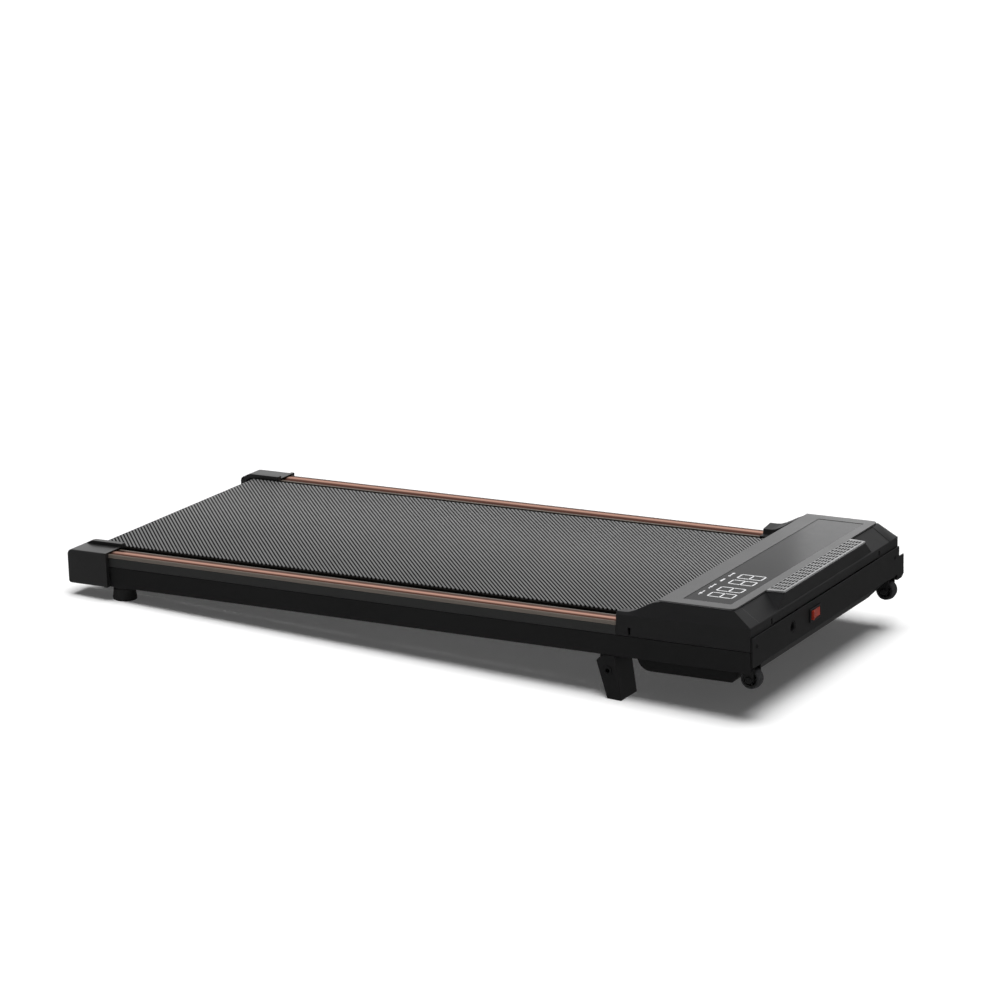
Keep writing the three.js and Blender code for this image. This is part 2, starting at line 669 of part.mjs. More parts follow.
// Side outline of a leg about its pivot: round at the rear of its head so that it folds
// back under the frame, square at the front so that it stops against the frame.
function legOutline() {
  const { headRadius, frontTop, frontFoot, rearFoot: rearFootX, rearOffset, rearLean } = LEG;
  const sole = (x) => floorHeight(LEG.x + x) - LEG.z;
  const rearAngle = 180 + rearLean - THREE.MathUtils.radToDeg(Math.acos(rearOffset / headRadius));
  return [
    [frontTop, -LEG.z - 0.4], [frontFoot, sole(frontFoot)], [rearFootX, sole(rearFootX)],
    ...arc(0, 0, headRadius, rearAngle, 90, 7),
  ];
}

function inclineLeg(side) {
  const { outer, inner, sheet, frontTop, frontFoot, hole, x, z } = LEG;
  const sole = floorHeight(x + frontFoot) - z;
  const body = alongY(legOutline(), ...span(side, inner, outer));
  const hollow = alongY([
    [frontTop - sheet, 40], [frontTop - sheet, -z], [frontFoot - sheet, sole + 2.5],
    [-40, sole + 2.5], [-40, 40],
  ], ...span(side, inner + sheet, outer - sheet));
  const bore = new THREE.CylinderGeometry(hole, hole, 80, 20);
  return cut(body, hollow, bore.translate(0, side * (inner + outer) / 2, 0)).translate(x, 0, z);
}

// A clevis under the frame rail, between the two cheeks of the leg.
function legBracket(side) {
  const { outer, inner, sheet, hole, x, z } = LEG;
  const top = -z - 0.4;
  const cheek = [[-13, top], [-13, 4], ...arc(0, 0, 8, 190, 350, 8), [6.5, 4], [6.5, top]];
  const body = alongY(cheek, ...span(side, inner + sheet + 0.5, outer - sheet - 0.5));
  const hollow = block([-30, 30], span(side, inner + sheet + 3, outer - sheet - 3), [-30, top - 2.5]);
  const bore = new THREE.CylinderGeometry(hole, hole, 80, 20);
  return cut(body, hollow, bore.translate(0, side * (inner + outer) / 2, 0)).translate(x, 0, z);
}

// A hollow-ended pivot bolt.
function legBolt(side) {
  const { outer, inner, x, z } = LEG;
  const [from, to] = [inner - 2.5, outer + GAP + 1.6];
  const bolt = turnedY([
    [0, from], [6.5, from], [6.5, inner - GAP], [4, inner - GAP], [4, outer + GAP],
    [5.8, outer + GAP], [5.8, to], [3, to], [3, to - 7], [0, to - 7],
  ], 20);
  if (side < 0) bolt.rotateZ(Math.PI);
  return bolt.translate(x, 0, z);
}

// ---------------------------------------------------------------- transport wheels and hook

function transportWheel(side) {
  const { radius, half, pin } = WHEEL;
  const bore = pin + GAP;
  return turnedY([
    [bore, -half], [6, -half], [6, 1.5 - half], [11, 1.5 - half], [11.6, -half],
    [radius - 1.4, -half], [radius, 1.4 - half], [radius, half - 1.4], [radius - 1.4, half],
    [11.6, half], [11, half - 1.5], [6, half - 1.5], [6, half], [bore, half], [bore, -half],
  ], 24).translate(WHEEL.x, side * WHEEL.y, WHEEL.z);
}

function wheelBracket(side) {
  const { x, y, z, half, pin } = WHEEL;
  const [low, high] = [y - half - 3.5, y + half + 3.5];
  const cheek = [[x - 9, 7], [x - 9, z + 8], ...arc(x, z, 6, 190, 350, 7), [x + 8, z + 8], [x + 8, 7]];
  const body = alongY(cheek, ...span(side, low, high));
  const hollow = block([x - 20, x + 20], span(side, low + 2, high - 2), [-50, 4.8]);
  const bore = new THREE.CylinderGeometry(pin + GAP, pin + GAP, 60, 16);
  return cut(body, hollow, bore.translate(x, side * y, z));
}

function wheelAxle(side) {
  const { x, y, z, half, pin } = WHEEL;
  const end = half + 3.5 + GAP;
  return turnedY([
    [0, -end - 1.5], [4.5, -end - 1.5], [4.5, -end], [pin, -end], [pin, end], [4.5, end],
    [4.5, end + 1.5], [0, end + 1.5],
  ], 16).translate(x, side * y, z);
}

function sideHook() {
  const { rear, front, reach, bottom, top, sheet } = HOOK;
  const base = HALF_WIDTH + GAP;
  const bracket = alongZ([
    [rear, base], [front, base], [front, base + reach], [front - sheet, base + reach],
    [front - sheet, base + sheet], [rear, base + sheet],
  ], bottom, top);
  const cornerCut = alongX([
    [base + reach - 9, bottom - 1], [base + reach + 1, bottom + 5], [base + reach + 1, bottom - 1],
  ], front - 10, front + 5);
  return cut(bracket, cornerCut);
}

// ---------------------------------------------------------------- building the machine

const CROSS_NAMES = ['rear', 'middle', 'front'];

for (const [word, side] of SIDES) {
  place(`${word}_frame_rail`, frameRail(side), FINISH.paintedSteel);
  place(`${word}_side_rail`, sideRail(side), FINISH.blackPlastic);
  place(`${word}_trim_strip`, trimStrip(side), FINISH.copper);
  place(`${word}_rear_cap`, rearCap(side), FINISH.blackPlastic);
  place(`${word}_rear_foot`, rearFoot(side), FINISH.rubber);
  place(`${word}_tension_bolt`, tensionBolt(side), FINISH.steel);
  place(`${word}_incline_leg`, inclineLeg(side), FINISH.paintedSteel);
  place(`${word}_leg_bracket`, legBracket(side), FINISH.paintedSteel);
  place(`${word}_leg_bolt`, legBolt(side), FINISH.steel);
  place(`${word}_transport_wheel`, transportWheel(side), FINISH.rubber);
  place(`${word}_wheel_bracket`, wheelBracket(side), FINISH.paintedSteel);
  place(`${word}_wheel_axle`, wheelAxle(side), FINISH.steel);
  CROSS.xs.forEach((x, i) => {
    place(`${word}_deck_cushion_${CROSS_NAMES[i]}`, deckCushion(x, side), FINISH.rubber);
  });
}

CROSS.xs.forEach((x, i) => {
  place(`cross_member_${CROSS_NAMES[i]}`, crossMember(x), FINISH.paintedSteel);
});

const deck = block([DECK.rear, DECK.front], [-DECK.half, DECK.half], [DECK.bottom, DECK.top]);
const onAxis = (geometry, x) => geometry.translate(x, 0, ROLLER.z);

place('front_panel', frontPanel(), FINISH.paintedSteel);
place('motor_tray', motorTray(), FINISH.paintedSteel);
place('deck_board', deck, FINISH.board);
place('rear_roller', onAxis(roller(-ROLLER.half - 2), ROLLER.rear), FINISH.steel);
place('rear_roller_axle', onAxis(axleRod(), ROLLER.rear), FINISH.steel);
place('drive_roller', onAxis(roller(PULLEY.left + GAP), ROLLER.front), FINISH.steel);
place('drive_roller_axle', onAxis(axleRod(), ROLLER.front), FINISH.steel);
place('drive_pulley', onAxis(pulley(PULLEY.drive, ROLLER.axle + GAP), ROLLER.front),
  FINISH.aluminium);
place('running_belt', runningBelt(), FINISH.beltCloth);
place('drive_belt', driveBelt(), FINISH.rubber);
place('hood_shell', hoodShell(), FINISH.blackPlastic);
place('top_panel', topPanel(), FINISH.greyPanel);
place('display_lens', displayLens(), FINISH.lens);
place('vent_grille', ventGrille(), FINISH.greyPanel);
place('display_board', displayBoard(), FINISH.circuit);
place('belly_pan', bellyPan(), FINISH.blackPlastic);
place('motor_body', motorBody(), FINISH.paintedSteel);
place('motor_shaft', motorShaft(), FINISH.steel);
place('motor_pulley', pulley(PULLEY.motor, MOTOR.shaft + GAP).translate(MOTOR.x, 0, MOTOR.z),
  FINISH.aluminium);
place('motor_fan', motorFan(), FINISH.blackPlastic);
place('motor_bracket', motorBracket(), FINISH.paintedSteel);
place('controller_board', controllerBoard(), FINISH.circuit);
place('heat_sink', heatSink(), FINISH.aluminium);
place('switch_bezel', switchBezel(), FINISH.blackPlastic);
place('switch_rocker', switchRocker(), FINISH.redSwitch);
place('power_inlet', powerInlet(), FINISH.blackPlastic);
place('side_hook', sideHook(), FINISH.paintedSteel);

// Tilt the machine up onto its legs, then stand it on the floor over the origin.
machine.rotation.y = -radians(INCLINE);
machine.updateMatrixWorld(true);
const box = new THREE.Box3().setFromObject(machine, true);
machine.position.set(-(box.min.x + box.max.x) / 2, -(box.min.y + box.max.y) / 2, -box.min.z);

const group = new THREE.Group();
group.add(machine);

export default group;
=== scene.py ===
"""Under-desk treadmill: the looks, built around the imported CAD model.

Shapes are worked out in the machine's level frame, in millimetres, with X from the rear end
to the motor end, Y from the walker's right to the left and Z up from the steel frame's
underside. The two rollers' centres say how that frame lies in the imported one.
"""

import json
import math

import bmesh
import bpy
from mathutils import Matrix, Vector


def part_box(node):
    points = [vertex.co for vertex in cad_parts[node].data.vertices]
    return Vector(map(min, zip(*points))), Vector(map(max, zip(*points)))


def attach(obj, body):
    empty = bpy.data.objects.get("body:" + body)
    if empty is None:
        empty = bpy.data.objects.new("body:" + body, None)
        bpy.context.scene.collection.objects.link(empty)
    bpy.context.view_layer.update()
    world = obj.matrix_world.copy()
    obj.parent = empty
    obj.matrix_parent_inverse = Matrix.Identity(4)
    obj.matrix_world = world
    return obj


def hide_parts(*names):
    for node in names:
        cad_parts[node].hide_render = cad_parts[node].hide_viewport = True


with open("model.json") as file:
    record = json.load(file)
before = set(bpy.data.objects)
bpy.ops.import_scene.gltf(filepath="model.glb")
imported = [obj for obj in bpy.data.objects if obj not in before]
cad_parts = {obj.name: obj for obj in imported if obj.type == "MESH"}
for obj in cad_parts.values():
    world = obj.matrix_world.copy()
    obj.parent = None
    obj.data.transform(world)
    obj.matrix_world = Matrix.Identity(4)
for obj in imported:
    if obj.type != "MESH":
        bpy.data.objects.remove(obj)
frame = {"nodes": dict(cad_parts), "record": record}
bpy.context.view_layer.update()

MM = 0.001
SIDES = (("right", -1), ("left", 1))

# ------------------------------------------------------------------ the level frame

ROLLER_X = 32                # rear roller's axis in the level frame
ROLLER_Z = 29.5


def centre_of(node):
    low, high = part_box(node)
    return (Vector(low) + Vector(high)) / 2


def level_to_row():
    rear, drive = centre_of("rear_roller"), centre_of("drive_roller")
    incline = math.atan2(drive.z - rear.z, drive.x - rear.x)
    origin = Vector((rear.x, centre_of("deck_board").y, rear.z))
    return (
        Matrix.Translation(origin)
        @ Matrix.Rotation(-incline, 4, "Y")
        @ Matrix.Scale(MM, 4)
        @ Matrix.Translation((-ROLLER_X, 0, -ROLLER_Z))
    )


LEVEL = level_to_row()


class Box:
    """A CAD node's extent in the level frame, in millimetres."""

    def __init__(self, node):
        to_level = LEVEL.inverted()
        points = [to_level @ v.co for v in frame["nodes"][node].data.vertices]
        self.x0, self.y0, self.z0 = (min(p[i] for p in points) for i in range(3))
        self.x1, self.y1, self.z1 = (max(p[i] for p in points) for i in range(3))
        self.cx, self.cy, self.cz = (
            (self.x0 + self.x1) / 2, (self.y0 + self.y1) / 2, (self.z0 + self.z1) / 2)


# ------------------------------------------------------------------ shader nodes


def add_node(tree, kind, **settings):
    node = tree.nodes.new(kind)
    for key, value in settings.items():
        setattr(node, key, value)
    return node


def is_socket(value):
    return isinstance(value, bpy.types.NodeSocket)


def wire(value, socket):
    """Links an output to the input socket, or sets the socket to a plain value."""
    if is_socket(value):
        socket.id_data.links.new(value, socket)
    else:
        socket.default_value = value


# ------------------------------------------------------------------ camera, light, floor

LENS_MM = 126
CAMERA_PLACE = (2.3717, -4.2687, 1.5833)
CAMERA_AIM = (0.0068, 0.0303, 0.1588)
CAMERA_ROLL = 0.953          # degrees


def make_camera():
    data = bpy.data.cameras.new("camera")
    data.lens = LENS_MM
    data.sensor_width = 36
    data.clip_start, data.clip_end = 0.05, 60
    camera = bpy.data.objects.new("camera", data)
    bpy.context.scene.collection.objects.link(camera)
    camera.location = CAMERA_PLACE
    look = Vector(CAMERA_AIM) - camera.location
    camera.rotation_mode = "QUATERNION"
    roll = Matrix.Rotation(math.radians(CAMERA_ROLL), 3, "Z").to_quaternion()
    camera.rotation_quaternion = look.to_track_quat("-Z", "Y") @ roll
    bpy.context.scene.camera = camera


KEY_HEADING = (-0.03, 0.06, -1)
KEY_SPREAD = 46              # degrees
KEY_POWER = 3.5
CARD_PLACE = (0.2, 1.33, 0.4)
CARD_SIZE = 0.6
CARD_POWER = 0.95
WALL_HEADING = (-0.6, 0.8, 0)
WALL_FADE = (0.4, 0.95)      # from grey to white, as a direction's lean along the heading
WALL_BRIGHT = 0.95
WALL_DARK = 0.15
HORIZON_FADE = 0.12          # half the height over which the wall fades at the horizon
SKY_FILL = 0.06              # light that the sky gives to matt surfaces
FLOOR_GLOW = 0.066           # keeps the floor's shadow an even grey


def add_light(name, kind, power, place, heading):
    data = bpy.data.lights.new(name, kind)
    data.energy = power
    light = bpy.data.objects.new(name, data)
    bpy.context.scene.collection.objects.link(light)
    light.location = place
    light.rotation_mode = "QUATERNION"
    light.rotation_quaternion = Vector(heading).to_track_quat("-Z", "Y")
    return light


def make_lights():
    """A broad soft light from above, and a card behind the machine that shows only as a
    reflection on the far end of the hood."""
    key = add_light("key", "SUN", KEY_POWER, (0, 0, 0), KEY_HEADING)
    key.data.angle = math.radians(KEY_SPREAD)
    key.visible_glossy = False
    aim = centre_of("display_lens") - Vector(CARD_PLACE)
    card = add_light("card", "AREA", CARD_POWER, CARD_PLACE, aim)
    card.data.size = CARD_SIZE
    card.visible_diffuse = False
    card.visible_camera = False


def smooth_step(tree, heading, start, end, low, high):
    """A smooth step from low to high across the directions that lean along the heading."""
    lean = add_node(tree, "ShaderNodeVectorMath", operation="DOT_PRODUCT")
    wire(add_node(tree, "ShaderNodeTexCoord").outputs["Generated"], lean.inputs[0])
    lean.inputs[1].default_value = heading
    step = add_node(tree, "ShaderNodeMapRange", interpolation_type="SMOOTHSTEP")
    wire(lean.outputs["Value"], step.inputs["Value"])
    wire(start, step.inputs["From Min"])
    wire(end, step.inputs["From Max"])
    wire(low, step.inputs["To Min"])
    wire(high, step.inputs["To Max"])
    return step.outputs["Result"]


def for_rays(tree, kind, inside, otherwise):
    """The inside value for rays of that kind, and the other one for the rest."""
    pick = add_node(tree, "ShaderNodeMix", data_type="FLOAT")
    wire(add_node(tree, "ShaderNodeLightPath").outputs[kind], pick.inputs["Factor"])
    wire(otherwise, pick.inputs["A"])
    wire(inside, pick.inputs["B"])
    return pick.outputs["Result"]


def make_world():
    """A white wall behind the machine that fades to grey towards the viewer, plain white
    where the camera sees it."""
    world = bpy.data.worlds.new("studio")
    bpy.context.scene.world = world
    world.use_nodes = True
    tree = world.node_tree
    wall = smooth_step(tree, WALL_HEADING, *WALL_FADE, WALL_DARK, WALL_BRIGHT)
    wall = smooth_step(tree, (0, 0, 1), -HORIZON_FADE, HORIZON_FADE, WALL_DARK, wall)
    wall = for_rays(tree, "Is Diffuse Ray", SKY_FILL, wall)
    background = tree.nodes["Background"]
    wire((1, 1, 1, 1), background.inputs["Color"])
    wire(for_rays(tree, "Is Camera Ray", 1, wall), background.inputs["Strength"])


def make_floor():
    bm = bmesh.new()
    bmesh.ops.create_grid(bm, x_segments=1, y_segments=1, size=14)
    mesh = bpy.data.meshes.new("floor")
    bm.to_mesh(mesh)
    bm.free()
    floor = bpy.data.objects.new("floor", mesh)
    bpy.context.scene.collection.objects.link(floor)
    paint = bpy.data.materials.new("floor_paint")
    paint.use_nodes = True
    shader = paint.node_tree.nodes["Principled BSDF"]
    shader.inputs["Base Color"].default_value = (0.93, 0.93, 0.93, 1)
    shader.inputs["Roughness"].default_value = 1
    shader.inputs["Specular IOR Level"].default_value = 0
    shader.inputs["Emission Color"].default_value = (1, 1, 1, 1)
    shader.inputs["Emission Strength"].default_value = FLOOR_GLOW
    mesh.materials.append(paint)
    floor.visible_glossy = False


# ------------------------------------------------------------------ materials

PAINTED_HIGHLIGHT_SHIFT = 9              # the painted highlight lies that far to the right of each strip's crest
BEAD_MIDDLE = 237            # mm from the machine's middle to the crest of the copper


class Finish:
    """A Principled material with its node graph added one call at a time."""

    def __init__(self, name, roughness=0.5, metallic=0.0, specular=0.5):
        self.material = bpy.data.materials.new(name)
        self.material.use_nodes = True
        self.tree = self.material.node_tree
        self.shader = self.tree.nodes["Principled BSDF"]
        self.shader.inputs["Roughness"].default_value = roughness
        self.shader.inputs["Metallic"].default_value = metallic
        self.shader.inputs["Specular IOR Level"].default_value = specular
        self.place = self.node("ShaderNodeTexCoord").outputs["Object"]

    def node(self, kind, **settings):
        return add_node(self.tree, kind, **settings)

    def put(self, name, value):
        wire(value, self.shader.inputs[name])

    def stretched(self, scale):
        node = self.node("ShaderNodeMapping")
        wire(self.place, node.inputs["Vector"])
        node.inputs["Scale"].default_value = scale
        return node.outputs["Vector"]

    def noise(self, scale, detail=3.0, vector=None):
        node = self.node("ShaderNodeTexNoise")
        wire(vector or self.place, node.inputs["Vector"])
        node.inputs["Scale"].default_value = scale
        node.inputs["Detail"].default_value = detail
        return node.outputs["Fac"]

    def cells(self, scale, feature="F1"):
        node = self.node("ShaderNodeTexVoronoi", feature=feature)
        wire(self.place, node.inputs["Vector"])
        node.inputs["Scale"].default_value = scale
        return node.outputs["Distance"]

    def maths(self, operation, a, b=0.0, c=0.0):
        node = self.node("ShaderNodeMath", operation=operation)
        for value, socket in zip((a, b, c), node.inputs):
            wire(value, socket)
        return node.outputs[0]

    def spread(self, value, low, high):
        """A 0 to 1 value mapped onto low to high."""
        node = self.node("ShaderNodeMapRange")
        wire(value, node.inputs["Value"])
        node.inputs["To Min"].default_value = low
        node.inputs["To Max"].default_value = high
        return node.outputs["Result"]

    def blend(self, factor, a, b):
        node = self.node("ShaderNodeMix", data_type="RGBA")
        wire(factor, node.inputs["Factor"])
        wire(a if is_socket(a) else (*a, 1), node.inputs["A"])
        wire(b if is_socket(b) else (*b, 1), node.inputs["B"])
        return node.outputs["Result"]

    def ramp(self, value, *stops):
        node = self.node("ShaderNodeValToRGB")
        wire(value, node.inputs["Fac"])
        points = node.color_ramp.elements
        while len(points) < len(stops):
            points.new(1)
        for point, (position, colour) in zip(points, stops):
            point.position = position
            point.color = (*colour, 1)
        return node.outputs["Color"]

    def split(self, vector=None):
        node = self.node("ShaderNodeSeparateXYZ")
        wire(vector or self.place, node.inputs[0])
        return node.outputs

    def relief(self, height, depth, strength):
        """Bump of that depth in metres."""
        node = self.node("ShaderNodeBump")
        wire(height, node.inputs["Height"])
        node.inputs["Distance"].default_value = depth
        node.inputs["Strength"].default_value = strength
        self.put("Normal", node.outputs["Normal"])


def shade(colour, factor):
    return tuple(channel * factor for channel in colour)


def moulded(name, colour, roughness=0.5, specular=0.5):
    """Spark-textured moulded plastic with faint flow marks and uneven gloss."""
    f = Finish(name, roughness, specular=specular)
    flow = f.noise(9, 4, f.stretched((1, 3, 2)))
    fine = f.noise(1500, 2)
    f.put("Base Color", f.blend(f.spread(flow, 0.2, 0.8), shade(colour, 0.82), shade(colour, 1.2)))
    mottled = f.maths("ADD", f.maths("MULTIPLY", flow, 0.14), f.maths("MULTIPLY", fine, 0.12))
    f.put("Roughness", f.maths("ADD", mottled, roughness - 0.13))
    f.relief(fine, 0.00006, 0.5)
    return f.material


def powder_coat(name, colour, roughness=0.48, specular=0.5):
    """Satin powder paint: orange peel, fine speckle and slightly thinner paint in patches."""
    f = Finish(name, roughness, specular=specular)
    peel = f.noise(420, 2)
    speck = f.cells(1600)
    patches = f.noise(14, 3)
    tint = f.maths("ADD", f.maths("MULTIPLY", patches, 0.7), f.maths("MULTIPLY", speck, 0.3))
    f.put("Base Color", f.blend(tint, shade(colour, 0.75), shade(colour, 1.3)))
    f.put("Roughness", f.spread(patches, roughness - 0.06, roughness + 0.08))
    f.relief(f.maths("ADD", peel, f.maths("MULTIPLY", speck, 0.3)), 0.00008, 0.45)
    return f.material


def brushed(name, colour, roughness, metallic=1.0, along=(18, 1400, 1400), contrast=0.25):
    """Metal drawn or brushed along X."""
    f = Finish(name, roughness, metallic)
    lines = f.noise(1, 3, f.stretched(along))
    stain = f.noise(22, 3)
    f.put("Base Color", f.blend(
        lines, shade(colour, 1 - contrast), shade(colour, 1 + contrast)))
    rough = f.maths("ADD", f.maths("MULTIPLY", lines, 0.16), f.maths("MULTIPLY", stain, 0.1))
    f.put("Roughness", f.maths("ADD", rough, roughness - 0.13))
    f.relief(lines, 0.00002, 0.35)
    return f.material


def copper():
    """Brushed copper film with a painted highlight: paler copper in a band beside the crest of
    each strip.
    """
    f = Finish("copper_trim", 0.42, 1.0)
    across = f.maths("ABSOLUTE", f.maths("ADD", f.split()["Y"], PAINTED_HIGHLIGHT_SHIFT / 1000))
    away = f.maths("ABSOLUTE", f.maths("SUBTRACT", across, BEAD_MIDDLE / 1000))
    # Painted highlight: the copper is paler within a few millimetres of the band's middle.
    painted_highlight = f.ramp(f.maths("MULTIPLY", away, 100), (0.15, (1, 1, 1)), (0.65, (0, 0, 0)))
    lines = f.noise(1, 3, f.stretched((18, 1400, 1400)))
    f.put("Base Color", f.blend(
        painted_highlight, f.blend(lines, (0.085, 0.036, 0.026), (0.13, 0.058, 0.042)),
        f.blend(lines, (0.66, 0.41, 0.32), (0.9, 0.6, 0.48))))
    f.put("Roughness", f.maths("MULTIPLY_ADD", lines, 0.16, 0.34))
    f.shader.inputs["Specular Tint"].default_value = (0.85, 0.66, 0.62, 1)
    f.relief(lines, 0.00002, 0.35)
    return f.material


def rubber(name, colour=(0.012, 0.012, 0.012)):
    f = Finish(name, 0.8, specular=0.3)
    pores = f.noise(900, 4)
    dust = f.noise(35, 3)
    f.put("Base Color", f.blend(f.spread(dust, 0.0, 0.9), colour, shade(colour, 2.2)))
    f.put("Roughness", f.spread(dust, 0.7, 0.92))
    f.relief(pores, 0.00012, 0.5)
    return f.material


def grained_panel(name="grey_panel", lift=1.0):
    """Light grey metallic film with a fine satin grain."""
    f = Finish(name, 0.42, 0.35)
    grain = f.noise(1500, 3)
    flake = f.cells(2200)
    cloud = f.noise(12, 2)
    body = f.maths("ADD", f.maths("MULTIPLY", grain, 0.55), f.maths("MULTIPLY", flake, 0.45))
    low, high = (0.067, 0.067, 0.068), (0.152, 0.152, 0.153)
    f.put("Base Color", f.blend(body, shade(low, lift), shade(high, lift)))
    f.put("Roughness", f.maths("ADD", f.maths("MULTIPLY", cloud, 0.1), 0.38))
    f.relief(grain, 0.00005, 0.4)
    return f.material


def smoked_window():
    """Glossy smoked acrylic with a painted reflection: its colour grows paler away from the
    digits.
    """
    f = Finish("display_window", 0.16, specular=0.06)
    y = f.split()["Y"]
    # Painted reflection: the pane's colour lightens towards +Y, the walker's left.
    painted_reflection = f.maths("MULTIPLY_ADD", y, 2.0, 0.45)
    haze = f.noise(60, 3)
    f.put("Base Color", f.ramp(
        painted_reflection, (0.0, (0.006, 0.006, 0.007)), (0.35, (0.012, 0.012, 0.0125)),
        (1.0, (0.05, 0.05, 0.052))))
    f.put("Roughness", f.spread(haze, 0.12, 0.24))
    f.relief(f.noise(700, 1), 0.00001, 0.2)
    return f.material


WEAVE_X = 146.2              # ribs of the belt's twill per metre along it
WEAVE_Y = 133.2              # and across it


def twill():
    """Ribbed belt surface: bright diagonal ribs of crossed threads, dark valleys between."""
    f = Finish("belt_twill", 0.55, specular=0.2)
    uv = f.node("ShaderNodeUVMap", uv_map="Weave").outputs["UV"]
    along, across = f.split(uv)["X"], f.split(uv)["Y"]
    rib = f.maths("ADD", f.maths("MULTIPLY", along, WEAVE_X), f.maths("MULTIPLY", across, WEAVE_Y))
    wander = f.maths("MULTIPLY", f.noise(25, 2, uv), 0.08)
    turn = f.maths("MULTIPLY", f.maths("ADD", rib, wander), 2 * math.pi)
    crest = f.maths("MULTIPLY_ADD", f.maths("SINE", turn), 0.5, 0.5)
    thread = f.maths("SUBTRACT", f.maths("MULTIPLY", along, 3 * WEAVE_Y),
                     f.maths("MULTIPLY", across, 3 * WEAVE_X))
    wave = f.maths("SINE", f.maths("MULTIPLY", thread, math.pi))
    strand = f.maths("MULTIPLY_ADD", wave, 0.5, 0.5)
    shape = f.maths("MULTIPLY", crest, f.maths("MULTIPLY_ADD", strand, 0.3, 0.7))
    wear = f.noise(7, 3, uv)
    light = f.blend(f.spread(wear, 0.1, 0.9), (0.17, 0.17, 0.171), (0.23, 0.23, 0.23))
    f.put("Base Color", f.blend(
        f.ramp(shape, (0.28, (0, 0, 0)), (0.62, (1, 1, 1))), (0.006, 0.006, 0.0062), light))
    f.put("Roughness", f.spread(crest, 0.75, 0.45))
    f.relief(shape, 0.0004, 0.6)
    return f.material


def belt_backing():
    f = Finish("belt_backing", 0.85, specular=0.2)
    weft = f.noise(1, 2, f.stretched((900, 300, 900)))
    f.put("Base Color", f.blend(weft, (0.006, 0.006, 0.0062), (0.018, 0.018, 0.0185)))
    f.relief(weft, 0.0001, 0.6)
    return f.material


def laminate():
    f = Finish("deck_laminate", 0.7, specular=0.1)
    grain = f.noise(1, 5, f.stretched((8, 220, 220)))
    f.put("Base Color", f.blend(grain, (0.004, 0.0036, 0.0032), (0.012, 0.0105, 0.009)))
    f.relief(grain, 0.0001, 0.4)
    return f.material


def circuit_board():
    f = Finish("circuit_board", 0.45)
    mask = f.cells(160, "DISTANCE_TO_EDGE")
    track = f.maths("LESS_THAN", mask, 0.06)
    fibre = f.noise(800, 2)
    green = f.blend(fibre, (0.006, 0.04, 0.016), (0.012, 0.07, 0.03))
    f.put("Base Color", f.blend(track, green, (0.03, 0.16, 0.06)))
    f.relief(track, 0.0001, 0.5)
    return f.material


def red_plastic():
    f = Finish("red_rocker", 0.3)
    flow = f.noise(120, 3)
    f.put("Base Color", f.blend(flow, (0.26, 0.028, 0.015), (0.4, 0.045, 0.025)))
    f.put("Roughness", f.spread(flow, 0.26, 0.4))
    f.relief(f.noise(1600, 2), 0.00003, 0.3)
    return f.material


def lit_segments():
    """White display ink, a little uneven, that glows faintly."""
    f = Finish("display_ink", 0.4)
    ink = f.noise(500, 2)
    f.put("Base Color", f.blend(ink, (0.5, 0.51, 0.52), (0.66, 0.66, 0.67)))
    f.put("Emission Color", f.blend(ink, (0.8, 0.82, 0.85), (1, 1, 1)))
    f.shader.inputs["Emission Strength"].default_value = 0.22
    return f.material


BLACK = (0.0105, 0.0105, 0.011)
MATERIALS = {
    "painted_steel": powder_coat("painted_steel", (0.0075, 0.0075, 0.0078), specular=0.4),
    "motor_paint": powder_coat("motor_paint", (0.03, 0.03, 0.032), 0.4),
    "black_plastic": moulded("black_plastic", BLACK),
    "side_plastic": moulded("side_plastic", (0.022, 0.0225, 0.022)),
    "pan_plastic": moulded("pan_plastic", (0.0062, 0.0062, 0.0064), specular=0.3),
    "cap_plastic": moulded("cap_plastic", (0.0105, 0.0105, 0.0108), 0.38, specular=0.95),
    "copper_trim": copper(),
    "trim_edge": brushed("trim_edge", (0.13, 0.108, 0.09), 0.5, 0, contrast=0.2),
    "grey_panel": grained_panel(),
    "display_window": smoked_window(),
    "black_rubber": rubber("black_rubber"),
    "wheel_tyre": rubber("wheel_tyre", (0.016, 0.016, 0.017)),
    "belt_surface": twill(),
    "belt_backing": belt_backing(),
    "bright_steel": brushed("bright_steel", (0.5, 0.5, 0.51), 0.3),
    "dark_steel": brushed("dark_steel", (0.02, 0.02, 0.021), 0.45, 0.6, (300, 300, 300)),
    "grille_metal": grained_panel("grille_metal", 2.8),
    "cast_aluminium": brushed("cast_aluminium", (0.6, 0.6, 0.62), 0.42, along=(300, 300, 300)),
    "deck_laminate": laminate(),
    "circuit_board": circuit_board(),
    "red_rocker": red_plastic(),
    "display_ink": lit_segments(),
}

# ------------------------------------------------------------------ making pieces


def body_of(node):
    for body, members in frame["record"]["behaviour"]["bodies"].items():
        if node in members:
            return body
    raise KeyError(node)


def add_piece(name, bm, body, finish, replaced=(), crease=35):
    """Turns a bmesh into a piece that rides on a body. Edges sharper than crease stay sharp."""
    bm.transform(LEVEL)
    bmesh.ops.recalc_face_normals(bm, faces=bm.faces)
    mesh = bpy.data.meshes.new(name)
    bm.to_mesh(mesh)
    bm.free()
    mesh.shade_smooth()
    mesh.set_sharp_from_angle(angle=math.radians(crease))
    for label in (finish if isinstance(finish, tuple) else (finish,)):
        mesh.materials.append(MATERIALS[label])
    piece = bpy.data.objects.new(name, mesh)
    bpy.context.scene.collection.objects.link(piece)
    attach(piece, body)
    if replaced:
        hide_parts(*replaced)
    return piece


def soften(piece, width, segments=3, angle=28):
    """Rounds the piece's sharp edges by that many millimetres."""
    bevel = piece.modifiers.new("edge_round", "BEVEL")
    bevel.width = width * MM
    bevel.segments = segments
    bevel.limit_method = "ANGLE"
    bevel.angle_limit = math.radians(angle)
    bevel.use_clamp_overlap = False
    bevel.harden_normals = True
    return piece


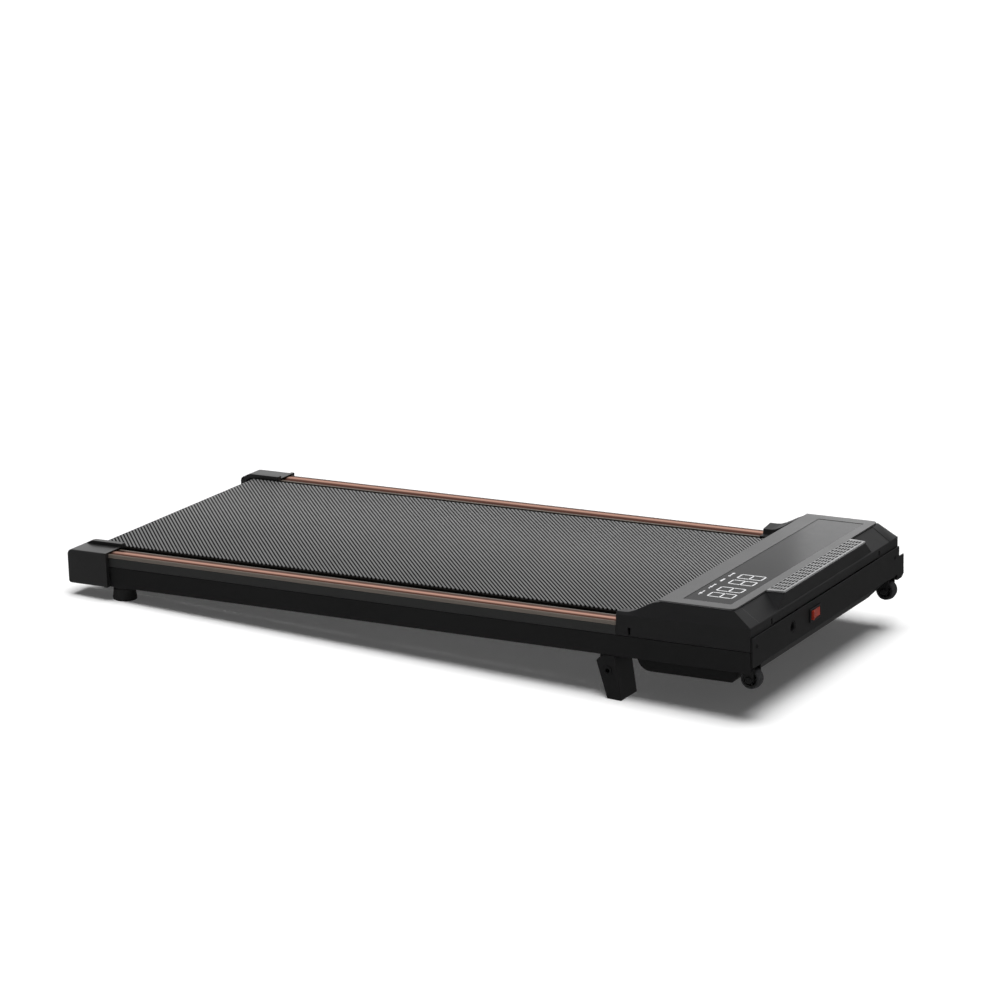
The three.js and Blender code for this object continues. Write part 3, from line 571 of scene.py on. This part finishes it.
def dress(node, finish, width):
    """Keeps a CAD node, gives it its material and, after joining its facets, rounds its edges
    by that many millimetres."""
    piece = frame["nodes"][node]
    piece.data.materials.clear()
    piece.data.materials.append(MATERIALS[finish])
    if width:
        weld = piece.modifiers.new("join_facets", "WELD")
        weld.merge_threshold = 1e-6
        flat = piece.modifiers.new("plain_faces", "DECIMATE")
        flat.decimate_type = "DISSOLVE"
        flat.angle_limit = math.radians(0.4)
        piece.modifiers.new("split_faces", "TRIANGULATE").min_vertices = 5
        soften(piece, width, 2)


# ------------------------------------------------------------------ shape helpers


def arc(cx, cy, radius, start, end, steps):
    """Points along an arc, in degrees."""
    angles = [math.radians(start + (end - start) * i / steps) for i in range(steps + 1)]
    return [(cx + radius * math.cos(a), cy + radius * math.sin(a)) for a in angles]


def rounded_plate(x0, x1, y0, y1, radius, steps=5):
    """Outline of a rectangle with round corners."""
    return [
        *arc(x1 - radius, y1 - radius, radius, 0, 90, steps),
        *arc(x0 + radius, y1 - radius, radius, 90, 180, steps),
        *arc(x0 + radius, y0 + radius, radius, 180, 270, steps),
        *arc(x1 - radius, y0 + radius, radius, 270, 360, steps),
    ]


def skin(bm, rings):
    """Faces between matching closed rings of points, with the two ends filled."""
    rows = [[bm.verts.new(point) for point in ring] for ring in rings]
    count = len(rows[0])
    for a, b in zip(rows, rows[1:]):
        for i in range(count):
            j = (i + 1) % count
            bm.faces.new((a[i], a[j], b[j], b[i]))
    bm.faces.new(rows[0])
    bm.faces.new(rows[-1])
    return bm


def along_x(outline, *stations):
    """Sweeps a closed (y, z) outline along X."""
    return skin(bmesh.new(), [[(x, y, z) for y, z in outline] for x in stations])


def along_y(outline, *stations):
    """Sweeps a closed (x, z) outline along Y."""
    return skin(bmesh.new(), [[(x, y, z) for x, z in outline] for y in stations])


def along_z(outline, *stations):
    """Sweeps a closed (x, y) outline along Z."""
    return skin(bmesh.new(), [[(x, y, z) for x, y in outline] for z in stations])


def block(x0, x1, y0, y1, z0, z1):
    y0, y1 = sorted((y0, y1))
    return along_z([(x0, y0), (x1, y0), (x1, y1), (x0, y1)], z0, z1)


def turned(profile, centre, axis="Y", segments=48, ripple=0.0, ribs=0):
    """A closed (radius, along) profile turned about a line through centre, maybe ribbed."""
    bm = bmesh.new()
    rows = []
    for k in range(segments):
        angle = 2 * math.pi * k / segments
        swell = 1 + ripple * math.cos(ribs * angle)
        c, s = swell * math.cos(angle), swell * math.sin(angle)
        spokes = {"X": lambda r, a: (a, r * c, r * s),
                  "Y": lambda r, a: (r * c, a, r * s),
                  "Z": lambda r, a: (r * c, r * s, a)}[axis]
        rows.append([bm.verts.new(Vector(centre) + Vector(spokes(r, a))) for r, a in profile])
    for k in range(segments):
        a, b = rows[k], rows[(k + 1) % segments]
        for i in range(len(profile)):
            j = (i + 1) % len(profile)
            if profile[i][0] or profile[j][0]:
                bm.faces.new((a[i], a[j], b[j], b[i]))
    bmesh.ops.remove_doubles(bm, verts=bm.verts, dist=1e-4)
    return bm


def scrap(bm):
    bmesh.ops.recalc_face_normals(bm, faces=bm.faces)
    mesh = bpy.data.meshes.new("scrap")
    bm.to_mesh(mesh)
    bm.free()
    helper = bpy.data.objects.new("scrap", mesh)
    bpy.context.scene.collection.objects.link(helper)
    return helper


def combine(operation, bm, *others):
    """The first closed shape with the others joined to it (UNION) or cut from it (DIFFERENCE)."""
    main = scrap(bm)
    tools = [scrap(other) for other in others]
    for tool in tools:
        step = main.modifiers.new("step", "BOOLEAN")
        step.operation = operation
        step.solver = "EXACT"
        step.object = tool
    result = bmesh.new()
    result.from_object(main, bpy.context.evaluated_depsgraph_get())
    for helper in (main, *tools):
        mesh = helper.data
        bpy.data.objects.remove(helper)
        bpy.data.meshes.remove(mesh)
    bmesh.ops.remove_doubles(result, verts=result.verts, dist=1e-3)
    bmesh.ops.dissolve_limit(result, angle_limit=0.004, verts=result.verts, edges=result.edges)
    return result


# ------------------------------------------------------------------ belt

BELT_THICKNESS = 1.7
BELT_EDGE = 0.6              # rounding of the belt's cut edges


def belt_path(box):
    """The belt's outer line from its joint underneath, round the rear roller and back, as
    (point, outward direction) pairs."""
    radius = (box.z1 - box.z0) / 2
    rear, front = box.x0 + radius, box.x1 - radius
    spans, turn_steps = 40, 28
    middle = (rear + front) / 2
    path = []
    for i in range(spans // 2):
        path.append(((middle + (rear - middle) * i / (spans // 2), box.cz - radius), (0, -1)))
    for x, z in arc(0, 0, 1, 270, 90, turn_steps):
        path.append(((rear + radius * x, box.cz + radius * z), (x, z)))
    for i in range(1, spans):
        path.append(((rear + (front - rear) * i / spans, box.cz + radius), (0, 1)))
    for x, z in arc(0, 0, 1, 90, -90, turn_steps):
        path.append(((front + radius * x, box.cz + radius * z), (x, z)))
    for i in range(1, spans // 2):
        path.append(((front + (middle - front) * i / (spans // 2), box.cz - radius), (0, -1)))
    return path


def make_belt():
    box = Box("running_belt")
    path = belt_path(box)
    half = (box.y1 - box.y0) / 2
    section = [
        (-half, BELT_THICKNESS), (-half, BELT_EDGE), (BELT_EDGE - half, 0), (0, 0),
        (half - BELT_EDGE, 0), (half, BELT_EDGE), (half, BELT_THICKNESS),
    ]
    bm = bmesh.new()
    weave = bm.loops.layers.uv.new("Weave")
    rows = [
        [bm.verts.new((x - dx * depth, y, z - dz * depth)) for y, depth in section]
        for (x, z), (dx, dz) in path
    ]
    travel = 0.0
    for k, row in enumerate(rows):
        after = rows[(k + 1) % len(rows)]
        ahead = travel + math.dist(path[k][0], path[(k + 1) % len(path)][0])
        for i in range(len(section)):
            j = (i + 1) % len(section)
            face = bm.faces.new((row[i], row[j], after[j], after[i]))
            face.material_index = int(j == 0)
            for loop, along in zip(face.loops, (travel, travel, ahead, ahead)):
                loop[weave].uv = (along * MM, loop.vert.co.y * MM)
        travel = ahead
    add_piece("belt_cloth", bm, body_of("running_belt"),
              ("belt_surface", "belt_backing"), ["running_belt"], crease=60)


# ------------------------------------------------------------------ copper trims

TRIM_EDGE = 3.6              # grey-brown margin on the copper's belt side
TRIM_SLOPE = 2.2             # how much lower the inner edge lies than the outer one
TRIM_SHOULDER = 2.0          # width of the margin on the outer side
GROOVE = 0.45                # step down from the margins to the copper
CROWN = 1.35                 # rise of the copper over its edges


def make_trim(side, sign):
    box = Box(f"{side}_trim_strip")
    inner, outer = sorted((abs(box.y0), abs(box.y1)))
    start, end = inner + TRIM_EDGE, outer - TRIM_SHOULDER
    low, high = box.z1 - TRIM_SLOPE, box.z1 - 1.3
    section = [
        (inner, low - 1.4), (inner, low - 0.4), (inner + 0.4, low), (start, low + 0.1),
        (start + 0.3, low + 0.1 - GROOVE), (end - 0.3, high - GROOVE), (end, high),
        (outer - 0.7, high - 0.2), (outer, high - 0.9), (outer, box.z0), (outer - 1.4, box.z0),
        (outer - 1.4, box.z1 - 2), (outer - 2.6, box.z1 - 1.8),
    ]
    body = body_of(f"{side}_trim_strip")
    base = along_x([(sign * y, z) for y, z in section], box.x0, box.x1)
    soften(add_piece(f"{side}_trim_base", base, body, "trim_edge",
                     [f"{side}_trim_strip"]), 0.2, 2)

    # This power of the way across puts the crown's top at BEAD_MIDDLE.
    lean = math.log(0.5) / math.log((BEAD_MIDDLE - start) / (end - start))
    steps = 26
    crown, floor = [], []
    for i in range(steps + 1):
        t = i / steps
        y = start + 0.4 + (end - start - 0.8) * t
        bed = low + 0.1 - GROOVE + (high - low - 0.1) * t
        crown.append((y, bed + 0.06 + CROWN * math.sin(math.pi * t ** lean) ** 0.9))
        floor.insert(0, (y, bed + 0.01))
    ribbon = along_x([(sign * y, z) for y, z in (*crown, *floor)], box.x0 + 0.3, box.x1 - 0.3)
    add_piece(f"{side}_trim_inlay", ribbon, body, "copper_trim", crease=50)


# ------------------------------------------------------------------ rear caps and feet

CAP_WALL = 3
CAP_BACK = 8                 # rounding of the cap's upper rear edge
CAP_LOW = 4.5                # of its lower rear edge
CAP_EDGE = 2.6               # and of the outer side's rim
COLLAR = 5.5                 # length of the collar at the cap's front end
RIM_RISE = 0.6               # which stands this proud
LIP_RISE = 4.5               # the lip's height above the cap's top
LIP_WIDTH = 10
LIP_DEPTH = 6.8
LIP_NOSE = 20                # the lip's outer bend
RAIL_OUTER = 250


def cap_rings(box, inner, outer, sign):
    """The cap's body: its side outline carried outward and drawn in round the outer edge."""
    end = box.x1 - COLLAR
    crown = box.z1 - LIP_RISE - RIM_RISE

    def side_view(inset):
        return [
            *arc(CAP_BACK, crown - CAP_BACK, CAP_BACK - inset, 180, 90, 9), (end, crown - inset),
            (end, inset), *arc(CAP_LOW, CAP_LOW, CAP_LOW - inset, 270, 180, 6),
        ]

    rings = [[(x, sign * (inner + 1.2), z) for x, z in side_view(0)]]
    for across, inward in arc(0, 0, 1, 0, 80, 6):
        y = outer - RIM_RISE - CAP_EDGE * (1 - inward)
        rings.append([(x, sign * y, z) for x, z in side_view(CAP_EDGE * (1 - across))])
    return rings


def cap_lip(box, inner, sign):
    """The band that rises over the cap's back and runs forward beside the belt."""
    turn = (1.5 + LIP_NOSE, box.z1 - LIP_NOSE)
    return along_y([
        (1.5, 24), *arc(*turn, LIP_NOSE, 180, 90, 14), (box.x1, box.z1),
        (box.x1, box.z1 - LIP_DEPTH), *arc(*turn, LIP_NOSE - LIP_DEPTH, 90, 180, 10),
        (1.5 + LIP_DEPTH, 24),
    ], sign * (inner + 0.2), sign * (inner + LIP_WIDTH))


def make_cap(side, sign):
    """A hollow end cap with a raised lip beside the belt, open below and towards the belt."""
    node = f"{side}_rear_cap"
    box, bolt = Box(node), Box(f"{side}_tension_bolt")
    inner, outer = sorted((abs(box.y0), abs(box.y1)))
    length, top = box.x1 - 1, box.z1 - LIP_RISE

    def bar(x0, x1, y0, y1, z0, z1):
        return block(x0, x1, sign * y0, sign * y1, z0, z1)

    body = skin(bmesh.new(), cap_rings(box, inner, outer, sign))
    collar = bar(length - COLLAR, length, inner + 1.2, outer, 0, top)
    keyhole = turned([(0, -2), (5, -2), (5, CAP_WALL + 2), (0, CAP_WALL + 2)],
                     (0, bolt.cy, bolt.cz), "X")
    shape = combine(
        "DIFFERENCE", combine("UNION", body, collar),
        bar(CAP_WALL, length - 4, inner - 2, outer - CAP_WALL, -1, top - CAP_WALL),
        bar(length - 5, length + 3, inner + 9.9, RAIL_OUTER + 0.6, -1, top - 1.1),
        bar(length - 5, length + 3, inner - 2, RAIL_OUTER, -1, 33),
        keyhole,
    )
    soften(add_piece(f"{side}_cap_shell", shape, body_of(node),
                     "cap_plastic", [node]), 0.3, 2, 38)
    soften(add_piece(f"{side}_cap_lip", cap_lip(box, inner, sign), body_of(node),
                     "cap_plastic"), 0.6)


def make_tension_bolt(side):
    node = f"{side}_tension_bolt"
    box = Box(node)
    head, shank = 6, 4
    profile = [
        (0, box.x0), (head - 0.8, box.x0), (head, box.x0 + 0.8), (head, box.x0 + 6),
        (shank, box.x0 + 6.6), (shank, box.x1), (0, box.x1),
    ]
    stem = turned(profile, (0, box.cy, box.cz), "X")
    socket = turned([(0, box.x0 - 1), (2.9, box.x0 - 1), (2.9, box.x0 + 3), (0, box.x0 + 3)],
                    (0, box.cy, box.cz), "X", 6)
    add_piece(f"{side}_belt_bolt", combine("DIFFERENCE", stem, socket), body_of(node),
              "dark_steel", [node])


INCLINE = math.atan2(-LEVEL[2][0], LEVEL[0][0])


def make_foot(side):
    """A ribbed rubber foot, its sole cut to the floor."""
    node = f"{side}_rear_foot"
    box = Box(node)
    radius = (box.x1 - box.x0) / 2
    waist = radius - 1.6
    foot = turned([
        (0, box.z0 - 6), (radius, box.z0 - 6), (radius, box.z0 + 5), (radius - 0.6, box.z0 + 7),
        (waist, box.z1 - 6), (waist, box.z1 - 5.2), (waist - 1, box.z1 - 4.6),
        (waist - 1, box.z1 - 0.8), (waist - 1.8, box.z1), (0, box.z1),
    ], (box.cx, box.cy, 0), "Z", 96, 0.006, 24)
    low = box.z0 + radius * math.tan(-INCLINE)

    def floor(x):
        return low + (x - box.cx) * math.tan(INCLINE)

    reach = radius + 10
    near, far = box.cx - reach, box.cx + reach
    below = along_y([(near, floor(near)), (far, floor(far)), (far, box.z0 - 30),
                     (near, box.z0 - 30)], box.y0 - 10, box.y1 + 10)
    add_piece(f"{side}_foot_rubber", combine("DIFFERENCE", foot, below), body_of(node),
              "black_rubber", [node], crease=40)


# ------------------------------------------------------------------ grey panel and display

PANEL_DEPTH = 2.2            # thickness of the plateau's sheet
PANEL_CORNER = 9
APRON = 1.2                  # thickness of the sheet on the hood's rear slope
CREST_X = 968                # where the slope meets the plateau
APRON_HALF = 218.4           # half the apron's width
LENS_GAP = 0.3               # how much wider the window's opening is than the pane's node


def make_panel():
    """The grey sheet: a plateau with the display's window, and an apron down to the belt."""
    box, lens = Box("top_panel"), Box("display_lens")
    low, corner = box.z1 - PANEL_DEPTH, PANEL_CORNER
    front = box.x1 - corner
    plate = along_z([
        (CREST_X - 3.4, box.y0), *arc(front, box.y0 + corner, corner, -90, 0, 8),
        *arc(front, box.y1 - corner, corner, 0, 90, 8), (CREST_X - 3.4, box.y1),
    ], low, box.z1)
    window = along_z(rounded_plate(lens.x0 - LENS_GAP, lens.x1 + LENS_GAP, lens.y0 - LENS_GAP,
                                   lens.y1 + LENS_GAP, 1.6), low - 1, box.z1 + 1)
    lean = math.degrees(math.atan2(box.z1 - box.z0 - APRON, CREST_X - 3 - box.x0))
    bend = 9
    hub = CREST_X + 1.2, box.z1 - bend
    sheet = [
        (box.x0, box.z0), (box.x0, box.z0 + APRON), *arc(*hub, bend, 90 + lean, 90, 5),
        (CREST_X + 3, box.z1), (CREST_X + 3, low), (CREST_X + 0.8, low),
    ]
    apron = along_y(sheet, -APRON_HALF, APRON_HALF)
    shape = combine("UNION", combine("DIFFERENCE", plate, window), apron)
    soften(add_piece("grey_sheet", shape, body_of("top_panel"), "grey_panel",
                     ["top_panel"]), 0.3, 2)


DIGIT_HEIGHT = 38
DIGIT_WIDTH = 20.5
DIGIT_STROKE = 2.2
STROKE_GAP = 0.3             # left out at both ends of a stroke
INK = 0.05                   # how far the print stands from the pane's face
DIGIT_MIDDLE = 1033          # the row of digits, along X
DIGIT_PLACES = (-93, -121.5, -158, -186.5)
MARK_ROW = 1001.5            # the row of marks, along X
MARKS = (                    # (middle along Y, bars as (offset, length, depth))
    (-90.5, ((-6.5, 5, 4), (0.5, 6, 2), (6.8, 4, 4))),
    (-119, ((0, 14, 3.2),)),
    (-151.5, ((-9, 4, 3.6), (-3, 5, 2), (3.5, 5, 3.6), (9.5, 4, 2))),
    (-183.5, ((-5.5, 7, 1.8), (3.5, 6, 4.2), (9.5, 3, 1.8))),
)


def bar_outline(start, end, stroke):
    """A pointed bar from start to end."""
    a, b = Vector(start), Vector(end)
    along = (b - a).normalized()
    across = Vector((-along.y, along.x)) * stroke / 2
    tip = along * stroke / 2
    gap = along * STROKE_GAP
    a, b = a + gap, b - gap
    return [a, a + tip - across, b - tip - across, b, b - tip + across, a + tip + across]


def make_digits():
    """Four seven-segment eights, and a row of plain marks behind them."""
    lens = Box("display_lens")
    bm = bmesh.new()

    def print_shape(outline, middle):
        """An outline of (right, up) pairs as the walker reads it."""
        rings = []
        for z in (lens.z1 - INK, lens.z1 + INK):
            rings.append([(DIGIT_MIDDLE + up, middle - right, z) for right, up in outline])
        skin(bm, rings)

    w = (DIGIT_WIDTH - DIGIT_STROKE) / 2
    h = (DIGIT_HEIGHT - DIGIT_STROKE) / 2
    strokes = [((-w, v), (w, v)) for v in (-h, 0, h)]
    strokes += [((u, v), (u, v + h)) for u in (-w, w) for v in (-h, 0)]
    for middle in DIGIT_PLACES:
        for start, end in strokes:
            print_shape(bar_outline(start, end, DIGIT_STROKE), middle)
    row = MARK_ROW - DIGIT_MIDDLE
    for middle, bars in MARKS:
        for offset, length, depth in bars:
            print_shape(rounded_plate(offset - length / 2, offset + length / 2, row - depth / 2,
                                      row + depth / 2, min(length, depth) * 0.3, 3), middle)
    add_piece("display_digits", bm, body_of("display_lens"), "display_ink")


def make_lens():
    box = Box("display_lens")
    grow = LENS_GAP - 0.08
    pane = along_z(rounded_plate(box.x0 - grow, box.x1 + grow, box.y0 - grow, box.y1 + grow, 1.4),
                   box.z0, box.z1)
    soften(add_piece("display_pane", pane, body_of("display_lens"),
                     "display_window", ["display_lens"]), 0.2, 2)
    make_digits()


GRILLE_ROWS = 5
GRILLE_COLUMNS = 20
GRILLE_HOLE = (3, 9.8)       # along X and along Y
GRILLE_START = 1079.8        # middle of the first row, along X
GRILLE_PITCH = (4.4, 13.4)   # along X and along Y


def make_grille():
    node = "vent_grille"
    box = Box(node)
    rear_half, front_half = box.y1, box.y1 - 4.5
    plate = along_z([(box.x0, -rear_half), (box.x1, -front_half), (box.x1, front_half),
                     (box.x0, rear_half)], box.z0, box.z1)
    holes = bmesh.new()
    for row in range(GRILLE_ROWS):
        x = GRILLE_START + row * GRILLE_PITCH[0]
        for column in range(GRILLE_COLUMNS):
            y = (column - (GRILLE_COLUMNS - 1) / 2) * GRILLE_PITCH[1]
            outline = rounded_plate(x - GRILLE_HOLE[0] / 2, x + GRILLE_HOLE[0] / 2,
                                    y - GRILLE_HOLE[1] / 2, y + GRILLE_HOLE[1] / 2, 0.6, 2)
            skin(holes, [[(px, py, z) for px, py in outline] for z in (box.z0 - 1, box.z1 + 1)])
    add_piece("air_grille", combine("DIFFERENCE", plate, holes), body_of(node),
              "grille_metal", [node])


# ------------------------------------------------------------------ wheels and legs


def make_wheel(side):
    node = f"{side}_transport_wheel"
    box = Box(node)
    centre = (box.cx, box.cy, box.cz)
    radius, half = (box.z1 - box.z0) / 2, (box.y1 - box.y0) / 2
    seat, crown, shoulder = 11.2, 1.0, 2.2
    wall = radius - crown - shoulder
    tyre = [
        (seat, -half + 0.4), (wall, -half), *arc(wall, shoulder - half, shoulder, -90, 0, 5),
        (radius, 0), *arc(wall, half - shoulder, shoulder, 0, 90, 5), (seat, half - 0.4),
    ]
    add_piece(f"{side}_wheel_tyre", turned(tyre, centre, "Y", 64), body_of(node),
              "wheel_tyre", [node])
    bore, boss, rim, web = 3.3, 6, seat - 0.1, 2.2
    hub = turned([
        (bore, -half), (boss, -half), (boss, -web), (rim - 1.6, -web), (rim - 1.6, 0.8 - half),
        (rim, 0.8 - half), (rim, half - 0.8), (rim - 1.6, half - 0.8), (rim - 1.6, web),
        (boss, web), (boss, half), (bore, half),
    ], centre, "Y", 64)
    spokes = []
    for k in range(5):
        spoke = block(boss - 0.6, rim - 1, -0.8, 0.8, -0.9, 0.9)
        bmesh.ops.scale(spoke, vec=(1, (half - 1.4) / 0.8, 1), verts=spoke.verts)
        spoke.transform(Matrix.Translation(centre) @ Matrix.Rotation(math.tau * k / 5, 4, "Y"))
        spokes.append(spoke)
    add_piece(f"{side}_wheel_hub", combine("UNION", hub, *spokes), body_of(node),
              "black_plastic")


def make_wheel_pin(side):
    node = f"{side}_wheel_axle"
    box = Box(node)
    cap, pin = 4.5, 3
    y0, y1, under = box.y0 - box.cy, box.y1 - box.cy, 1.5
    profile = [
        (0, y0), (cap - 1, y0), (cap, y0 + 0.8), (cap, y0 + under), (pin, y0 + under),
        (pin, y1 - under), (cap, y1 - under), (cap, y1 - 0.8), (cap - 1, y1), (0, y1),
    ]
    add_piece(f"{side}_wheel_pin", turned(profile, (box.cx, box.cy, box.cz), "Y"), body_of(node),
              "dark_steel", [node])


def make_leg_bolt(side, sign):
    """The leg's pivot bolt, sunk into a hollow head."""
    node = f"{side}_leg_bolt"
    box = Box(node)
    inner, outer = (box.y0, box.y1) if sign > 0 else (-box.y1, -box.y0)
    profile = [
        (0, inner), (5.7, inner), (6.5, inner + 0.8), (6.5, inner + 2.2), (4, inner + 2.2),
        (4, outer - 1.6), (5.8, outer - 1.6), (5.8, outer - 0.5), (5.2, outer), (3.4, outer),
        (3, outer - 0.5), (3, outer - 7), (0, outer - 7),
    ]
    bolt = turned([(r, sign * a) for r, a in profile], (box.cx, 0, box.cz), "Y")
    add_piece(f"{side}_pivot_bolt", bolt, body_of(node), "dark_steel", [node])


# ------------------------------------------------------------------ front panel fittings


ROCKER_REST = 7              # degrees


def make_rocker():
    """The switch's red rocker, hollowed along its length and tipped about an upright axis."""
    box = Box("switch_rocker")
    bezel = Box("switch_bezel")
    half, height, depth, back = 13.1, (box.z1 - box.z0) / 2, 7.4, -1
    sag = 1.9
    turn_by = math.radians(ROCKER_REST)
    centre = (box.x1 - depth * math.cos(turn_by) - half * math.sin(turn_by), bezel.cy)
    face = []
    for i in range(13):
        t = i / 6 - 1
        face.append((depth - sag * (1 - t * t), half * t))
    outline = [(back, -half + 1.8), *face, (back, half - 1.8), (back - 2, 0)]
    placed = []
    for x, y in outline:
        placed.append((centre[0] + x * math.cos(turn_by) - y * math.sin(turn_by),
                       centre[1] + x * math.sin(turn_by) + y * math.cos(turn_by)))
    rocker = along_z(placed, box.cz - height, box.cz + height)
    soften(add_piece("rocker_cap", rocker, body_of("switch_rocker"), "red_rocker",
                     ["switch_rocker"]), 0.5, 3, 50)


def make_inlet():
    node = "power_inlet"
    box = Box(node)
    rim, bore, tab = 7.8, 6.3, 10.3
    front, floor = box.x1, box.x0 + 3
    tab_front = front - 2.6
    collar = turned([
        (0, box.x0), (rim, box.x0), (rim, tab_front - 3), (tab, tab_front - 3), (tab, tab_front),
        (rim, tab_front), (rim, front - 0.4), (rim - 0.4, front), (bore + 0.5, front),
        (bore, front - 0.6), (bore, floor), (0, floor),
    ], (0, box.cy, box.cz), "X")
    add_piece("inlet_collar", collar, body_of(node), "black_plastic", [node])
    pin = turned([(0, floor), (1, floor), (1, front - 4), (0.6, front - 3.4), (0, front - 3.4)],
                 (0, box.cy, box.cz), "X", 24)
    add_piece("inlet_pin", pin, body_of(node), "bright_steel")


SCREW_RADIUS = 3.1
SCREW_RISE = 1.3
PANEL_SCREW = (234, 35)      # along Y and Z
PAN_SCREW_REAR = 44          # in from the pan's rear end
PAN_SCREW_FRONT = 62         # and from its front end
PAN_SCREW_HALF = 180


def make_screw(name, place, axis, facing, body):
    """A low domed screw head with a cross recess."""
    dome = [(0, 0), (SCREW_RADIUS, 0), (SCREW_RADIUS, 0.5 * facing),
            (SCREW_RADIUS * 0.75, SCREW_RISE * 0.85 * facing), (0.0, SCREW_RISE * facing)]
    head = turned(dome, place, axis, 32)
    cutters = []
    for k in range(2):
        cutter = block(-0.35, 0.35, -1.7, 1.7, SCREW_RISE - 0.9, SCREW_RISE + 1)
        lie = {"X": Matrix.Rotation(math.pi / 2 * facing, 4, "Y"),
               "Z": Matrix.Rotation(0 if facing > 0 else math.pi, 4, "X")}[axis]
        spin = Matrix.Rotation(math.pi / 4 + k * math.pi / 2, 4, "Z")
        cutter.transform(Matrix.Translation(place) @ lie @ spin)
        cutters.append(cutter)
    add_piece(name, combine("DIFFERENCE", head, *cutters), body, "dark_steel")


def make_screws():
    panel, pan = Box("front_panel"), Box("belly_pan")
    for side, sign in SIDES:
        across, up = PANEL_SCREW
        make_screw(f"{side}_panel_screw", (panel.x1, sign * across, up), "X", 1, "chassis")
        for word, x in (("rear", pan.x0 + PAN_SCREW_REAR), ("front", pan.x1 - PAN_SCREW_FRONT)):
            place = (x, sign * PAN_SCREW_HALF, pan.z0)
            make_screw(f"{side}_pan_screw_{word}", place, "Z", -1, "chassis")


# ------------------------------------------------------------------ the build

make_camera()
make_world()
make_lights()
make_floor()
bpy.context.scene.view_settings.view_transform = "Standard"

make_belt()
make_panel()
make_lens()
make_grille()
make_rocker()
make_inlet()
make_screws()
for side, sign in SIDES:
    make_trim(side, sign)
    make_cap(side, sign)
    make_tension_bolt(side)
    make_foot(side)
    make_wheel(side)
    make_wheel_pin(side)
    make_leg_bolt(side, sign)

# Carried-over nodes: node ending, finish, rounding of its edges in millimetres.
PAIRED = (
    ("frame_rail", "painted_steel", 0.7), ("side_rail", "side_plastic", 0.5),
    ("incline_leg", "painted_steel", 0.8), ("leg_bracket", "painted_steel", 0.4),
    ("wheel_bracket", "painted_steel", 0.4), ("deck_cushion_rear", "black_rubber", 0),
    ("deck_cushion_middle", "black_rubber", 0), ("deck_cushion_front", "black_rubber", 0),
)
SINGLE = (
    ("hood_shell", "black_plastic", 0.8), ("front_panel", "painted_steel", 0.9),
    ("belly_pan", "pan_plastic", 0.8), ("motor_tray", "painted_steel", 0),
    ("cross_member_rear", "painted_steel", 0.6), ("cross_member_middle", "painted_steel", 0.6),
    ("cross_member_front", "painted_steel", 0.6), ("side_hook", "painted_steel", 0.4),
    ("deck_board", "deck_laminate", 0), ("switch_bezel", "black_plastic", 0.4),
    ("rear_roller", "bright_steel", 0), ("rear_roller_axle", "bright_steel", 0),
    ("drive_roller", "bright_steel", 0), ("drive_roller_axle", "bright_steel", 0),
    ("drive_pulley", "cast_aluminium", 0), ("motor_pulley", "cast_aluminium", 0),
    ("motor_shaft", "bright_steel", 0), ("motor_fan", "black_plastic", 0),
    ("motor_body", "motor_paint", 0), ("motor_bracket", "painted_steel", 0),
    ("drive_belt", "black_rubber", 0), ("heat_sink", "cast_aluminium", 0),
    ("controller_board", "circuit_board", 0), ("display_board", "circuit_board", 0),
)
for ending, finish, rounding in PAIRED:
    for side, _ in SIDES:
        dress(f"{side}_{ending}", finish, rounding)
for node, finish, rounding in SINGLE:
    dress(node, finish, rounding)
